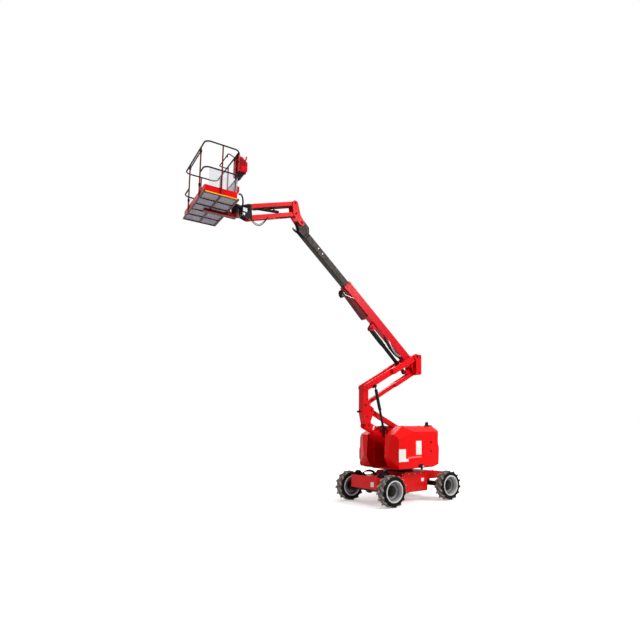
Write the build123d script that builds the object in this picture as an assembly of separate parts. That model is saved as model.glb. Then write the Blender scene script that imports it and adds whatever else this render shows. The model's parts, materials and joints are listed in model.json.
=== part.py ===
from build123d import *
import os
from math import atan2, cos, degrees, hypot, radians, sin

# Articulating boom lift, in millimetres. +Z is up, +X is the steered end, and the boom
# reaches over the driven end towards -X. The origin is on the ground under the slew axis.
# Every piece is drawn where it stands with the riser part raised and the boom extended.

# ---- driving dimensions ----
WHEELBASE = 2150
TRACK = 1880
TYRE_D = 838
TYRE_W = 300
RIM_D = 545
LUG_HEIGHT = 30
LUG_COUNT = 14

BODY_HALF_W = 620
NOSE_HALF_W = 500
BODY_TOP = 840
END_TOP = 735
SADDLE_X = -300
NOTCH_TOP = 560
BODY_BOTTOM = 285
BODY_FRONT = -WHEELBASE / 2 - 215
BODY_REAR = 560
NOSE_END = WHEELBASE / 2 + 255
PLATE = 12
KINGPIN_Y = 700
AXLE_R = 80
SPINDLE_R = 38
SPINDLE_END = 985

RING_R = 420
RING_TOP = 925
DECK_TOP = 970
SLOT_HALF = 360
POD_HALF_W = 880
POD_TOP = 2130
POD_BOTTOM = 962
POD_FRONT = -885
POD_REAR = 790
SHEET = 8
HINGE = (SLOT_HALF + 6, POD_TOP - 6)
HINGE_R = 8
HINGE_AT = (-260, 460)

LOWER_PIN = (550, 1300)
LOWER_ELEVATION = 25.5
LOWER_LENGTH = 1965
LOWER_LINK_STEP = (119, 415)
UPRIGHT_STEP = (-87, 1053)
UPPER_ELEVATION = 29.02
UPPER_LENGTH = 2106.5
FORK_START = 1135
UPPER_LINK_DROP = 485
UPPER_LINK_DEPTH = 115
ARM_DEPTH = 180
RISER_BASE_AT = (1360, -25)
RISER_EYE_AT = (260, -80)

BOOM_STEP = (-81, -211)
LIFT_STEP = (-327, -478)
BOOM_ELEVATION = 39.65
BOOM_DEPTH = 250
BOOM_WIDTH = 200
BOOM_NOSE = 3180
BOOM_TAIL = -60
BOOM_WALL = 7
FLY_DEPTH = 198
FLY_WIDTH = 152
FLY_WALL = 6
FLY_TAIL = 1850
FLY_END = 5080
ELBOW_REACH = 5170
ELBOW_RISE = 120

JIB_DROP = 20.02
JIB_LENGTH = 1314
JIB_TOP_STEP = (-211, 474)
JIB_LINK_STEP = (30, -278)
JIB_PLATE = (95, 111)
JIB_BAR = (52, 88)

ROTATOR_STEP = 290
BASKET_GAP = 217
BASKET_DEPTH = 780
BASKET_LENGTH = 1800
BASKET_DROP = 325
RAIL_HEIGHT = 1190
MID_HEIGHT = 0.492 * RAIL_HEIGHT
BASKET_TURN = -5
RAIL_R = 17
POST_R = 16
ENTRY = (-520, 420)
FLOOR_BAYS = 5

# clearances
RUN = 0.05
SEAT = 0.3

# pin radii
PIN_R = 30
RISER_PIN_R = 24
BOOM_PIN_R = 35
JIB_PIN_R = 20

# Half widths of the nested pieces, from the middle plane out.
LINK_HALF = 50
UPRIGHT_SIDE = (96, 108)
BEAM = (112, 136)
TOWER = (142, 160)
CHEEK = (130, 148)
FORK = (160, 220)
OUTER_PLATE = (235, 253)
RISER_Y = -182


# ---- shapes ----
def span(x0, x1, y0, y1, z0, z1):
    """Box between two corners."""
    middle = Pos((x0 + x1) / 2, (y0 + y1) / 2, (z0 + z1) / 2)
    return middle * Box(x1 - x0, y1 - y0, z1 - z0)


def slab(points, y0, y1):
    """Prism of an outline in the X-Z plane between two Y planes."""
    outline = Polyline(*[(x, y0, z) for x, z in points], close=True)
    return extrude(make_face(outline), amount=y1 - y0, dir=(0, 1, 0))


def cross_rod(point, radius, y0, y1):
    """Cylinder along Y through a point of the X-Z plane."""
    return Pos(point[0], (y0 + y1) / 2, point[1]) * Rot(90, 0, 0) * Cylinder(radius, y1 - y0)


def post(x, y, radius, z0, z1):
    """Upright cylinder."""
    return Pos(x, y, (z0 + z1) / 2) * Cylinder(radius, z1 - z0)


def both(shape):
    """A shape and its mirror image across the middle plane."""
    return shape + mirror(shape, about=Plane.XZ)


def twin_slab(points, band):
    """Two equal plates, one each side of the middle plane, between two half widths."""
    return both(slab(points, band[0], band[1]))


def twin_rod(point, radius, band):
    """Two short cylinders along Y, one each side of the middle plane."""
    return both(cross_rod(point, radius, band[0], band[1]))


def reach(origin, elevation, along, rise=0, side=-1):
    """Point along a member that leaves origin towards side, and square to it by rise."""
    e = radians(elevation)
    x = origin[0] + side * (along * cos(e) - rise * sin(e))
    return (x, origin[1] + along * sin(e) + rise * cos(e))


def member(origin, elevation, side=-1):
    """Location whose X runs along a member and whose Z is square to it, upwards."""
    e = radians(elevation)
    frame = Plane(
        origin=(origin[0], 0, origin[1]),
        x_dir=(side * cos(e), 0, sin(e)),
        z_dir=(-side * sin(e), 0, cos(e)),
    )
    return frame.location


def lever(length, depth, band):
    """Plate bar with round ends from the origin along X, between two half widths."""
    y0, y1 = band
    bar = span(0, length, y0, y1, -depth / 2, depth / 2)
    return bar + cross_rod((0, 0), depth / 2, y0, y1) + cross_rod((length, 0), depth / 2, y0, y1)


def box_lever(length, depth, band, wall, boss):
    """Box section bar with round ends, hollow between its end bosses."""
    y0, y1 = band
    hollow = span(boss, length - boss, y0 + wall, y1 - wall, wall - depth / 2, depth / 2 - wall)
    return lever(length, depth, band) - hollow


def outline_frame(x0, x1, y0, y1, z, corner, radius):
    """Round tube bent to a closed rectangle with round corners."""
    path = Pos((x0 + x1) / 2, (y0 + y1) / 2, z) * RectangleRounded(x1 - x0, y1 - y0, corner)
    wire = path.face().outer_wire()
    start = Plane(origin=wire @ 0, z_dir=wire % 0)
    return sweep(start * Circle(radius), path=wire)


# ---- pivots that follow from the driving dimensions ----
LOWER_LINK_PIN = (LOWER_PIN[0] + LOWER_LINK_STEP[0], LOWER_PIN[1] + LOWER_LINK_STEP[1])
FOOT_PIN = reach(LOWER_PIN, LOWER_ELEVATION, LOWER_LENGTH)
FOOT_LINK_PIN = (FOOT_PIN[0] + LOWER_LINK_STEP[0], FOOT_PIN[1] + LOWER_LINK_STEP[1])
HEAD_PIN = (FOOT_PIN[0] + UPRIGHT_STEP[0], FOOT_PIN[1] + UPRIGHT_STEP[1])
HEAD_LINK_PIN = (HEAD_PIN[0], HEAD_PIN[1] - UPPER_LINK_DROP)
REAR_PIN = reach(HEAD_PIN, UPPER_ELEVATION, UPPER_LENGTH, side=1)
REAR_LINK_PIN = (REAR_PIN[0], REAR_PIN[1] - UPPER_LINK_DROP)
RISER_BASE = reach(LOWER_PIN, LOWER_ELEVATION, *RISER_BASE_AT)
RISER_EYE = reach(HEAD_PIN, UPPER_ELEVATION, *RISER_EYE_AT, side=1)
BOOM_PIN = (REAR_PIN[0] + BOOM_STEP[0], REAR_PIN[1] + BOOM_STEP[1])
LIFT_BASE = (REAR_PIN[0] + LIFT_STEP[0], REAR_PIN[1] + LIFT_STEP[1])
LIFT_EYE = reach(BOOM_PIN, BOOM_ELEVATION, 1764, -292)
ELBOW_PIN = reach(BOOM_PIN, BOOM_ELEVATION, ELBOW_REACH, ELBOW_RISE)
JIB_TOP_PIN = (ELBOW_PIN[0] + JIB_TOP_STEP[0], ELBOW_PIN[1] + JIB_TOP_STEP[1])
JIB_LOW_PIN = (JIB_TOP_PIN[0] + JIB_LINK_STEP[0], JIB_TOP_PIN[1] + JIB_LINK_STEP[1])
HEAD_TOP_PIN = reach(JIB_TOP_PIN, -JIB_DROP, JIB_LENGTH)
HEAD_LOW_PIN = (HEAD_TOP_PIN[0] + JIB_LINK_STEP[0], HEAD_TOP_PIN[1] + JIB_LINK_STEP[1])
ROTATOR_X = HEAD_TOP_PIN[0] - ROTATOR_STEP
BASKET_FLOOR = HEAD_TOP_PIN[1] - BASKET_DROP


# ---- wheels ----
def tyre_body():
    """Carcass turned about its axle, with the bead on the rim."""
    half = TYRE_W / 2
    tread = TYRE_D / 2 - LUG_HEIGHT
    bead = RIM_D / 2
    profile = [
        (bead, -half + 35),
        (bead + 45, -half + 4),
        (tread - 40, -half),
        (tread, -half + 45),
        (tread, half - 45),
        (tread - 40, half),
        (bead + 45, half - 4),
        (bead, half - 35),
    ]
    outline = Polyline(*[(r, y, 0) for r, y in profile], close=True)
    return revolve(make_face(outline), axis=Axis.Y)


def tyre_lugs():
    """Two rows of slanted lugs that reach the outside diameter."""
    radius = TYRE_D / 2
    blocks = []
    for row in (-1, 1):
        for i in range(LUG_COUNT):
            turn = 360 / LUG_COUNT * (i + (0.5 if row > 0 else 0))
            lug = Pos(0, row * 73, radius - 40) * Rot(0, 0, row * 38) * Box(48, 156, 70)
            blocks.append(Rot(0, turn, 0) * lug)
    return blocks[0] + blocks[1:]


def tyre():
    return tyre_body() + tyre_lugs()


def rim(out):
    """Rim whose dish opens to the outside, out = -1 on the near wheels and 1 on the far."""
    r = RIM_D / 2 - SEAT
    profile = [
        (r, -118),
        (r + 16, -130),
        (r - 14, -137),
        (r - 22, -20),
        (110, 30),
        (80, 10),
        (SPINDLE_R + RUN, 10),
        (SPINDLE_R + RUN, 60),
        (r - 50, 40),
        (r - 12, 137),
        (r + 16, 130),
        (r, 118),
    ]
    outline = Polyline(*[(d, y * -out, 0) for d, y in profile], close=True)
    return revolve(make_face(outline), axis=Axis.Y)


# ---- chassis ----
def chassis_frame():
    """Welded box body with a notch for the drive axle and a narrow nose over the steer axle."""
    axle_x = -WHEELBASE / 2
    side = [
        (BODY_FRONT, 430),
        (BODY_FRONT, 770),
        (BODY_FRONT + 30, 770),
        (BODY_FRONT + 60, END_TOP),
        (SADDLE_X - 100, END_TOP),
        (SADDLE_X, BODY_TOP),
        (BODY_REAR, BODY_TOP),
        (BODY_REAR, BODY_BOTTOM),
        (-560, BODY_BOTTOM),
        (-760, 430),
        (axle_x + 140, 430),
        (axle_x + 140, NOTCH_TOP),
        (axle_x - 140, NOTCH_TOP),
        (axle_x - 140, 430),
    ]
    body = slab(side, -BODY_HALF_W, BODY_HALF_W)
    ends = body.edges().filter_by(Axis.Z).group_by(Axis.X)[0]
    body = chamfer(ends, 50)
    room = [
        (BODY_FRONT + 120, NOTCH_TOP + PLATE),
        (BODY_FRONT + 120, END_TOP - PLATE),
        (SADDLE_X - 100, END_TOP - PLATE),
        (SADDLE_X + 10, BODY_TOP - 2 * PLATE),
        (BODY_REAR - PLATE, BODY_TOP - 2 * PLATE),
        (BODY_REAR - PLATE, NOTCH_TOP + PLATE),
    ]
    inside = slab(room, PLATE - BODY_HALF_W, BODY_HALF_W - PLATE)
    belly = span(-560, BODY_REAR - PLATE, PLATE - BODY_HALF_W, BODY_HALF_W - PLATE,
                 BODY_BOTTOM + PLATE, 600)
    nose_side = [
        (BODY_REAR, 590),
        (BODY_REAR, BODY_TOP),
        (BODY_REAR + 60, BODY_TOP),
        (NOSE_END, 775),
        (NOSE_END, 590),
    ]
    nose = slab(nose_side, -NOSE_HALF_W, NOSE_HALF_W)
    hollow = span(BODY_REAR + PLATE, NOSE_END - PLATE, PLATE - NOSE_HALF_W, NOSE_HALF_W - PLATE,
                  590 + PLATE, 760)
    saddle = post(0, 0, RING_R + 25, END_TOP - 2 * PLATE, BODY_TOP)
    return body - inside - belly + saddle + (nose - hollow)


def drive_axle():
    """Driven beam axle with its gear case, mounting pads and hub ends."""
    x, z = -WHEELBASE / 2, TYRE_D / 2
    beam = cross_rod((x, z), AXLE_R, -760, 760)
    case = Pos(x, 0, z) * Sphere(130)
    pads = both(span(x - 100, x + 100, 250, 370, z + 40, NOTCH_TOP - SEAT))
    flanges = twin_rod((x, z), 125, (700, 760))
    spindles = twin_rod((x, z), SPINDLE_R, (760, SPINDLE_END))
    return beam + case + pads + flanges + spindles


def steer_axle():
    """Box beam hung under the nose, with a fork at each end for the kingpin."""
    x, z = WHEELBASE / 2, TYRE_D / 2
    beam = span(x - 60, x + 60, -620, 620, z - 55, z + 75)
    hanger = span(x - 90, x + 90, -110, 110, z + 75, 590 - SEAT)
    arm_top = span(x - 50, x + 50, 560, KINGPIN_Y + 45, z + 75, z + 110)
    arm_low = span(x - 50, x + 50, 560, KINGPIN_Y + 45, z - 105, z - 55)
    fork = both(arm_top + arm_low)
    pins = both(post(x, KINGPIN_Y, 22, z - 125, z + 130))
    return beam + hanger + fork + pins


def steering_cylinder():
    """Steering cylinder clamped along the front of the steer axle."""
    x, z = WHEELBASE / 2 - 60 - 45, TYRE_D / 2 - 10
    barrel = cross_rod((x, z), 32, -260, 260)
    clamps = both(span(x - 40, x + 45 - SEAT, 190, 230, z - 40, z + 40))
    return barrel + clamps


def knuckle(side):
    """Steering knuckle on its kingpin, with the spindle that carries the wheel."""
    x, z = WHEELBASE / 2, TYRE_D / 2
    y = side * KINGPIN_Y
    block = post(x, y, 48, z - 54, z + 74)
    spindle = cross_rod((x, z), SPINDLE_R, *sorted((side * (KINGPIN_Y + 30), side * SPINDLE_END)))
    steer_arm = span(x - 190, x, *sorted((side * (KINGPIN_Y - 20), side * (KINGPIN_Y + 20))),
                     z - 52, z - 24)
    bore = post(x, y, 22 + RUN, z - 80, z + 100)
    return block + spindle + steer_arm - bore


def slew_ring():
    """Slewing bearing bolted on the chassis, with its gear ring."""
    return post(0, 0, RING_R, BODY_TOP + SEAT, RING_TOP) - post(0, 0, RING_R - 90, BODY_TOP, RING_TOP)


# ---- turntable ----
def turntable():
    """Deck plate over the ring, pod floors, arm tower and slot walls."""
    deck = span(-700, POD_REAR + 12 - SEAT, -SLOT_HALF, SLOT_HALF, RING_TOP + SEAT, DECK_TOP)
    floors = both(span(POD_FRONT + 165, POD_REAR - 280, SLOT_HALF - 40, POD_HALF_W - 150,
                       DECK_TOP - 25, DECK_TOP))
    spigot = post(0, 0, RING_R - 95, BODY_TOP + 20, RING_TOP + SEAT)
    tower_side = [
        (250, DECK_TOP),
        (480, 1400),
        (590, 1800),
        (750, 1800),
        (750, DECK_TOP),
    ]
    towers = twin_slab(tower_side, TOWER)
    back = span(738, 750, -TOWER[0], TOWER[0], DECK_TOP, 1450)
    sheet = slab(pod_side(25), SLOT_HALF, SLOT_HALF + PLATE)
    sheet &= span(-1500, 1500, 0, 1200, POD_BOTTOM, POD_TOP - 35)
    walls = both(sheet)
    for x in HINGE_AT:
        for end in (-64, 52):
            walls += both(span(x + end, x + end + 12, SLOT_HALF, SLOT_HALF + PLATE,
                               POD_TOP - 40, HINGE[1] + 8))
        walls += both(hinge_rod(x, HINGE_R, 64, 1))
    pins = cross_rod(LOWER_PIN, PIN_R, -TOWER[1] - 8, TOWER[1] + 8)
    link_pin = cross_rod(LOWER_LINK_PIN, PIN_R, -TOWER[1] - 8, TOWER[1] + 8)
    collars = twin_rod(LOWER_LINK_PIN, 45, (LINK_HALF + 4, TOWER[0]))
    return deck + floors + spigot + towers + back + walls + pins + link_pin + collars


def counterweight():
    """Cast block across the tail, below the arm slot."""
    back = [
        (POD_REAR + 12, DECK_TOP - 35),
        (POD_REAR + 250, DECK_TOP + 40),
        (POD_REAR + 270, 1500),
        (POD_REAR + 200, 1700),
        (POD_REAR + 12, 1700),
    ]
    block = slab(back, -620, 620)
    return block


def pod_block(x0, x1, z1, side):
    """Plain heavy block on a pod floor."""
    y0, y1 = sorted((side * (SLOT_HALF + 60), side * (POD_HALF_W - 120)))
    return span(x0, x1, y0, y1, DECK_TOP + SEAT, z1)


def hinge_rod(x, radius, half, side):
    """Rod along the hinge line of a pod cover, centred at x."""
    return Pos(x, side * HINGE[0], HINGE[1]) * Rot(0, 90, 0) * Cylinder(radius, 2 * half)


def pod_end(inset):
    """End view of a pod, as distance from the middle plane and height."""
    return [
        (SLOT_HALF + PLATE + 2, POD_BOTTOM),
        (SLOT_HALF + PLATE + 2, POD_TOP - inset),
        (POD_HALF_W - 250, POD_TOP - inset),
        (POD_HALF_W - inset, POD_TOP - 160 - inset * 0.4),
        (POD_HALF_W - inset, POD_BOTTOM + 40),
        (POD_HALF_W - 25 - inset, POD_BOTTOM),
    ]


def pod_side(inset):
    """Side view of a pod, with its sloped front edges and its tucked tail."""
    return [
        (POD_FRONT + 150 + inset, POD_BOTTOM - 5),
        (POD_FRONT + inset, POD_BOTTOM + 318),
        (POD_FRONT + 40 + inset, POD_TOP - 245),
        (POD_FRONT + 480 + inset, POD_TOP + 30),
        (POD_REAR - 60 - inset, POD_TOP + 30),
        (POD_REAR - inset, POD_TOP - 170),
        (POD_REAR - 20 - inset, POD_BOTTOM + 218),
        (POD_REAR - 110 - inset, POD_BOTTOM + 78),
        (POD_REAR - 260 - inset, POD_BOTTOM - 5),
    ]


def pod_plan(inset):
    """Plan of a pod, with the bevelled front corner, as X and distance from the middle."""
    return [
        (POD_FRONT + inset, 0),
        (POD_FRONT + inset, 540),
        (POD_FRONT + 120 + inset, POD_HALF_W + 5),
        (POD_REAR - 40 - inset, POD_HALF_W + 5),
        (POD_REAR - inset, POD_HALF_W - 80),
        (POD_REAR - inset, 0),
    ]


def pod_brow(side, inset):
    """Plane of the facet over a pod's front corner, facing up and out."""
    facing = Vector(-0.235, side * 0.69, 0.685).normalized()
    centre = Vector(POD_FRONT + 405, side * POD_HALF_W, POD_TOP - 256) - facing * inset
    return Plane(origin=centre, z_dir=facing)


def hood(side):
    """Hinged cover of one pod: a shell open below and towards the slot wall."""
    def solid(inset):
        outline = Polyline(*[(-1500, side * y, z) for y, z in pod_end(inset)], close=True)
        run = extrude(make_face(outline), amount=3000, dir=(1, 0, 0))
        corners = Polyline(*[(x, side * y, 0) for x, y in pod_plan(inset)], close=True)
        tall = extrude(make_face(corners), amount=3000, dir=(0, 0, 1))
        block = run & tall & slab(pod_side(inset), -1200, 1200)
        return split(block, bisect_by=pod_brow(side, inset), keep=Keep.BOTTOM)
    y0, y1 = sorted((side * (SLOT_HALF - 10), side * (SLOT_HALF + PLATE + 20)))
    mouth = span(-1500, 1500, y0, y1, 0, POD_TOP - SHEET)
    shell = solid(0) - solid(SHEET) - mouth
    for x in HINGE_AT:
        shell -= span(x - 70, x + 70, *sorted((side * SLOT_HALF, side * (SLOT_HALF + 28))),
                      POD_TOP - 60, POD_TOP + 40)
        leaf = span(x - 50, x + 50, *sorted((side * HINGE[0], side * (HINGE[0] + 30))),
                    POD_TOP - SHEET, POD_TOP)
        shell += leaf + hinge_rod(x, HINGE_R + 6, 50, side) - hinge_rod(x, HINGE_R + RUN, 60, side)
    return shell


# ---- riser ----
def outboard_pin(at):
    """Pin of the riser cylinder's base outside the near beam, with its collar and end plate."""
    # In the lower arm's frame Y is mirrored, so the near side is at +Y.
    pin = cross_rod(at, RISER_PIN_R, BEAM[0], -RISER_Y + 44)
    collar = cross_rod(at, 40, BEAM[1] - 1, -RISER_Y - 34.5)
    plate = cross_rod(at, 34, -RISER_Y + 34.5, -RISER_Y + 44)
    return pin + collar + plate


def lower_arm():
    """Twin beams with cross tubes, and the pin that carries the riser cylinder's base."""
    place = member(LOWER_PIN, LOWER_ELEVATION)
    beams = both(box_lever(LOWER_LENGTH, ARM_DEPTH, BEAM, 6, 110))
    tubes = cross_rod(RISER_BASE_AT, 45, -BEAM[0], BEAM[0]) + cross_rod((350, 0), 50, -BEAM[0], BEAM[0])
    bores = cross_rod((0, 0), PIN_R + RUN, -400, 400)
    bores += cross_rod((LOWER_LENGTH, 0), PIN_R + RUN, -400, 400)
    return place * (beams + tubes - bores + outboard_pin(RISER_BASE_AT))


def lower_link():
    """Single box link above the lower arm."""
    bar = box_lever(LOWER_LENGTH, 130, (-LINK_HALF, LINK_HALF), 8, 90)
    bores = cross_rod((0, 0), PIN_R + RUN, -60, 60)
    bores += cross_rod((LOWER_LENGTH, 0), PIN_R + RUN, -60, 60)
    return member(LOWER_LINK_PIN, LOWER_ELEVATION) * (bar - bores)


def mid_upright():
    """Channel that joins the two parallelograms, open towards the tail."""
    foot_x, foot_z = FOOT_PIN
    head_x, head_z = HEAD_PIN
    link_x, link_z = FOOT_LINK_PIN
    side = [
        (head_x - 88, head_z + 60),
        (head_x - 60, head_z + 80),
        (head_x + 60, head_z + 80),
        (head_x + 84, head_z + 50),
        (head_x + 84, link_z + 200),
        (link_x + 80, link_z + 60),
        (link_x + 80, link_z - 50),
        (foot_x + 95, foot_z + 130),
        (foot_x + 95, foot_z - 40),
        (foot_x + 50, foot_z - 85),
        (foot_x - 40, foot_z - 85),
        (foot_x - 100, foot_z + 40),
        (head_x - 88, link_z - 60),
    ]
    plates = twin_slab(side, UPRIGHT_SIDE)
    inner = UPRIGHT_SIDE[0]
    front = slab([(head_x - 88, head_z + 60), (head_x - 76, head_z + 60),
                  (head_x - 76, link_z - 60), (foot_x - 88, foot_z + 40),
                  (foot_x - 100, foot_z + 40), (head_x - 88, link_z - 60)], -inner, inner)
    arm_pins = cross_rod(FOOT_PIN, PIN_R, -BEAM[1] - 7, BEAM[1] + 7)
    arm_pins += cross_rod(HEAD_PIN, PIN_R, -BEAM[1] - 7, BEAM[1] + 7)
    collars = twin_rod(FOOT_LINK_PIN, 45, (LINK_HALF + 1, inner))
    collars += twin_rod(HEAD_LINK_PIN, 45, (LINK_HALF + 1, inner))
    link_pins = cross_rod(FOOT_LINK_PIN, PIN_R, -inner, inner)
    link_pins += cross_rod(HEAD_LINK_PIN, PIN_R, -inner, inner)
    return plates + front + arm_pins + collars + link_pins


def bump_stop():
    """Rubber buffer on the front of the mid upright."""
    x = HEAD_PIN[0] - 88
    return Pos(x - 35 - SEAT, 70, FOOT_LINK_PIN[1] - 30) * Rot(0, 90, 0) * Cylinder(28, 70)


def upper_arm():
    """Narrow beams around the boom in front, which step out to a wide fork at the rear."""
    place = member(HEAD_PIN, UPPER_ELEVATION, 1)
    front = box_lever(FORK_START + 60, ARM_DEPTH, BEAM, 6, 110)
    fork = box_lever(UPPER_LENGTH - FORK_START, ARM_DEPTH, FORK, 8, 110)
    step = span(FORK_START - 80, FORK_START + 40, BEAM[0], FORK[1], -ARM_DEPTH / 2, ARM_DEPTH / 2)
    beams = both(front + Pos(FORK_START, 0, 0) * fork + step)
    lug_side = [(120, -60), (350, -60), (310, -132), (215, -132)]
    lug = slab(lug_side, -BEAM[1], -BEAM[0]) + cross_rod(RISER_EYE_AT, 48, -BEAM[1] - 11.5, -BEAM[0])
    bores = cross_rod((0, 0), PIN_R + RUN, -400, 400)
    bores += cross_rod((UPPER_LENGTH, 0), PIN_R + RUN, -400, 400)
    tie = cross_rod((FORK_START - 20, -60), 28, -BEAM[0], BEAM[0])
    return place * (beams + lug + tie - bores)


def upper_link():
    """Box link whose rear end forks round the foot of the lift cylinder."""
    bar = box_lever(UPPER_LENGTH - 800, UPPER_LINK_DEPTH, (-LINK_HALF, LINK_HALF), 8, 80)
    half = UPPER_LINK_DEPTH / 2
    neck = span(UPPER_LENGTH - 860, UPPER_LENGTH - 760, -100, 100, -half, half)
    tines = both(span(UPPER_LENGTH - 860, UPPER_LENGTH, 76, 100, -half, half)
                 + cross_rod((UPPER_LENGTH, 0), half, 76, 100))
    cut = cross_rod((UPPER_LENGTH - 745, 0), half + 1, -75, 75)
    bores = cross_rod((0, 0), PIN_R + RUN, -60, 60)
    bores += cross_rod((UPPER_LENGTH, 0), PIN_R + RUN, -200, 200)
    return member(HEAD_LINK_PIN, UPPER_ELEVATION, 1) * (bar + neck + tines - cut - bores)


def rear_upright():
    """Four plates on a back wall that carry the arm, the link, the boom and its cylinder."""
    x, z = REAR_PIN
    low = REAR_LINK_PIN[1]
    foot = low - 50
    outer = [(x - 120, z - 40), (x - 110, z + 70), (x + 160, z + 70), (x + 170, foot),
             (x - 45, foot), (x - 50, z - 100)]
    cheek = [(x - 150, z - 160), (x - 60, z + 70), (x + 170, z + 70), (x + 170, foot),
             (x - 60, foot), (x - 150, BOOM_PIN[1] - 70)]
    back = span(x + 158, x + 170, -OUTER_PLATE[1], OUTER_PLATE[1], foot, z + 70)
    base_x, base_z = LIFT_BASE
    bracket = [(x + 165, low + 50), (base_x + 160, base_z + 85), (base_x - 10, base_z + 62),
               (base_x - 62, base_z), (base_x - 10, base_z - 60), (x + 165, low - 40)]
    plates = twin_slab(outer, OUTER_PLATE) + twin_slab(cheek, CHEEK)
    bracket_plates = twin_slab(bracket, (46, 62))
    pins = twin_rod(REAR_PIN, PIN_R, (CHEEK[0], OUTER_PLATE[1] + 8))
    pins += cross_rod(REAR_LINK_PIN, PIN_R, -CHEEK[1], CHEEK[1])
    pins += cross_rod(BOOM_PIN, BOOM_PIN_R, -CHEEK[1] - 4, CHEEK[1] + 4)
    pins += cross_rod(LIFT_BASE, 26, -62, 62)
    return plates + bracket_plates + back + pins


# ---- cylinders ----
def aim(base, eye):
    """Distance and elevation from a cylinder's base to its eye, towards the eye's side."""
    dx, dz = eye[0] - base[0], eye[1] - base[1]
    side = 1 if dx > 0 else -1
    return hypot(dx, dz), degrees(atan2(dz, abs(dx))), side


def cylinder_barrel(base, eye, y, radius, length, pin_r, half, bottom):
    """Barrel with its base eye on a pin, a gland nut, two ports and the rod's bore."""
    _, elevation, side = aim(base, eye)
    tube = Pos(length / 2, 0, 0) * Rot(0, 90, 0) * Cylinder(radius, length)
    foot = cross_rod((0, 0), radius + 4, -half, half)
    gland = Pos(length - 30, 0, 0) * Rot(0, 90, 0) * Cylinder(radius + 6, 60)
    depth = length - bottom
    bore = Pos(bottom + depth / 2 + 5, 0, 0) * Rot(0, 90, 0) * Cylinder(radius * 0.6 + RUN, depth + 10)
    ports = Pos(150, 0, radius) * Box(50, 40, 30) + Pos(length - 110, 0, radius) * Box(50, 40, 30)
    solid = tube + foot + gland + ports - bore - cross_rod((0, 0), pin_r + RUN, -100, 100)
    trim = span(-radius - 10, radius + 10, -half, half, -radius - 10, radius + 10)
    clear = span(-radius - 10, radius + 10, -200, 200, -radius - 10, radius + 10) - trim
    return Pos(0, y, 0) * member(base, elevation, side) * (solid - clear)


def cylinder_rod(base, eye, y, radius, start, half):
    """Rod from inside the barrel to its eye, with stub pins that stop at the lugs."""
    length, elevation, side = aim(base, eye)
    rod = Pos((start + length) / 2, 0, 0) * Rot(0, 90, 0) * Cylinder(radius, length - start)
    ring = cross_rod((length, 0), radius + 18, -half, half)
    return Pos(0, y, 0) * member(base, elevation, side) * (rod + ring)


# ---- boom ----
def main_boom():
    """Box boom with its pivot bosses, the lift cylinder's lugs and a stiffened nose."""
    d, w = BOOM_DEPTH / 2, BOOM_WIDTH / 2
    tube = span(BOOM_TAIL, BOOM_NOSE, -w, w, -d, d)
    inside = span(BOOM_TAIL + PLATE, BOOM_NOSE + 10, BOOM_WALL - w, w - BOOM_WALL, BOOM_WALL - d,
                  d - BOOM_WALL)
    foot = span(BOOM_TAIL - 10, BOOM_TAIL + 60, -w - 1, w + 1, -d - 1, -d + 40)
    boss = twin_rod((0, 0), 62, (w - BOOM_WALL, CHEEK[0] - 2))
    lug = [(1620, -d + 1), (1700, -330), (1740, -348), (1790, -348), (1822, -300), (1840, -d + 1)]
    lugs = twin_slab(lug, (46, 62))
    lug_boss = twin_rod((1764, -292), 42, (46, 76))
    bore = cross_rod((0, 0), BOOM_PIN_R + RUN, -300, 300)
    collar = span(BOOM_NOSE - 90, BOOM_NOSE, -w - 8, w + 8, -d - 8, d + 8)
    collar -= span(BOOM_NOSE - 100, BOOM_NOSE + 10, -w + 1, w - 1, -d + 1, d - 1)
    return member(BOOM_PIN, BOOM_ELEVATION) * (tube - inside - foot + boss + lugs + lug_boss + collar
                                              - bore)


def wear_pads():
    """Four slide pads inside the boom's nose."""
    d, w = BOOM_DEPTH / 2 - BOOM_WALL, BOOM_WIDTH / 2 - BOOM_WALL
    gap_z, gap_y = d - FLY_DEPTH / 2 - SEAT, w - FLY_WIDTH / 2 - SEAT
    x0, x1 = BOOM_NOSE - 110, BOOM_NOSE - 5
    flat = span(x0, x1, -60, 60, d - gap_z, d) + span(x0, x1, -60, 60, -d, -d + gap_z)
    edge = span(x0, x1, w - gap_y, w, -70, 70) + span(x0, x1, -w, -w + gap_y, -70, 70)
    return member(BOOM_PIN, BOOM_ELEVATION) * (flat + edge)


def hose_tray():
    """Sheet trough under the boom that carries the hoses to the fly."""
    d = BOOM_DEPTH / 2
    outer = [(2090, -d - SEAT), (BOOM_NOSE - 110, -d - SEAT), (BOOM_NOSE - 20, -215), (2130, -290),
             (2090, -270)]
    inner = [(2080, -d + 10), (BOOM_NOSE - 116, -d + 10), (BOOM_NOSE - 40, -207),
             (2132, -282), (2080, -262)]
    trough = slab(outer, -75, 75) - slab(inner, -70, 70)
    return member(BOOM_PIN, BOOM_ELEVATION) * trough


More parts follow.
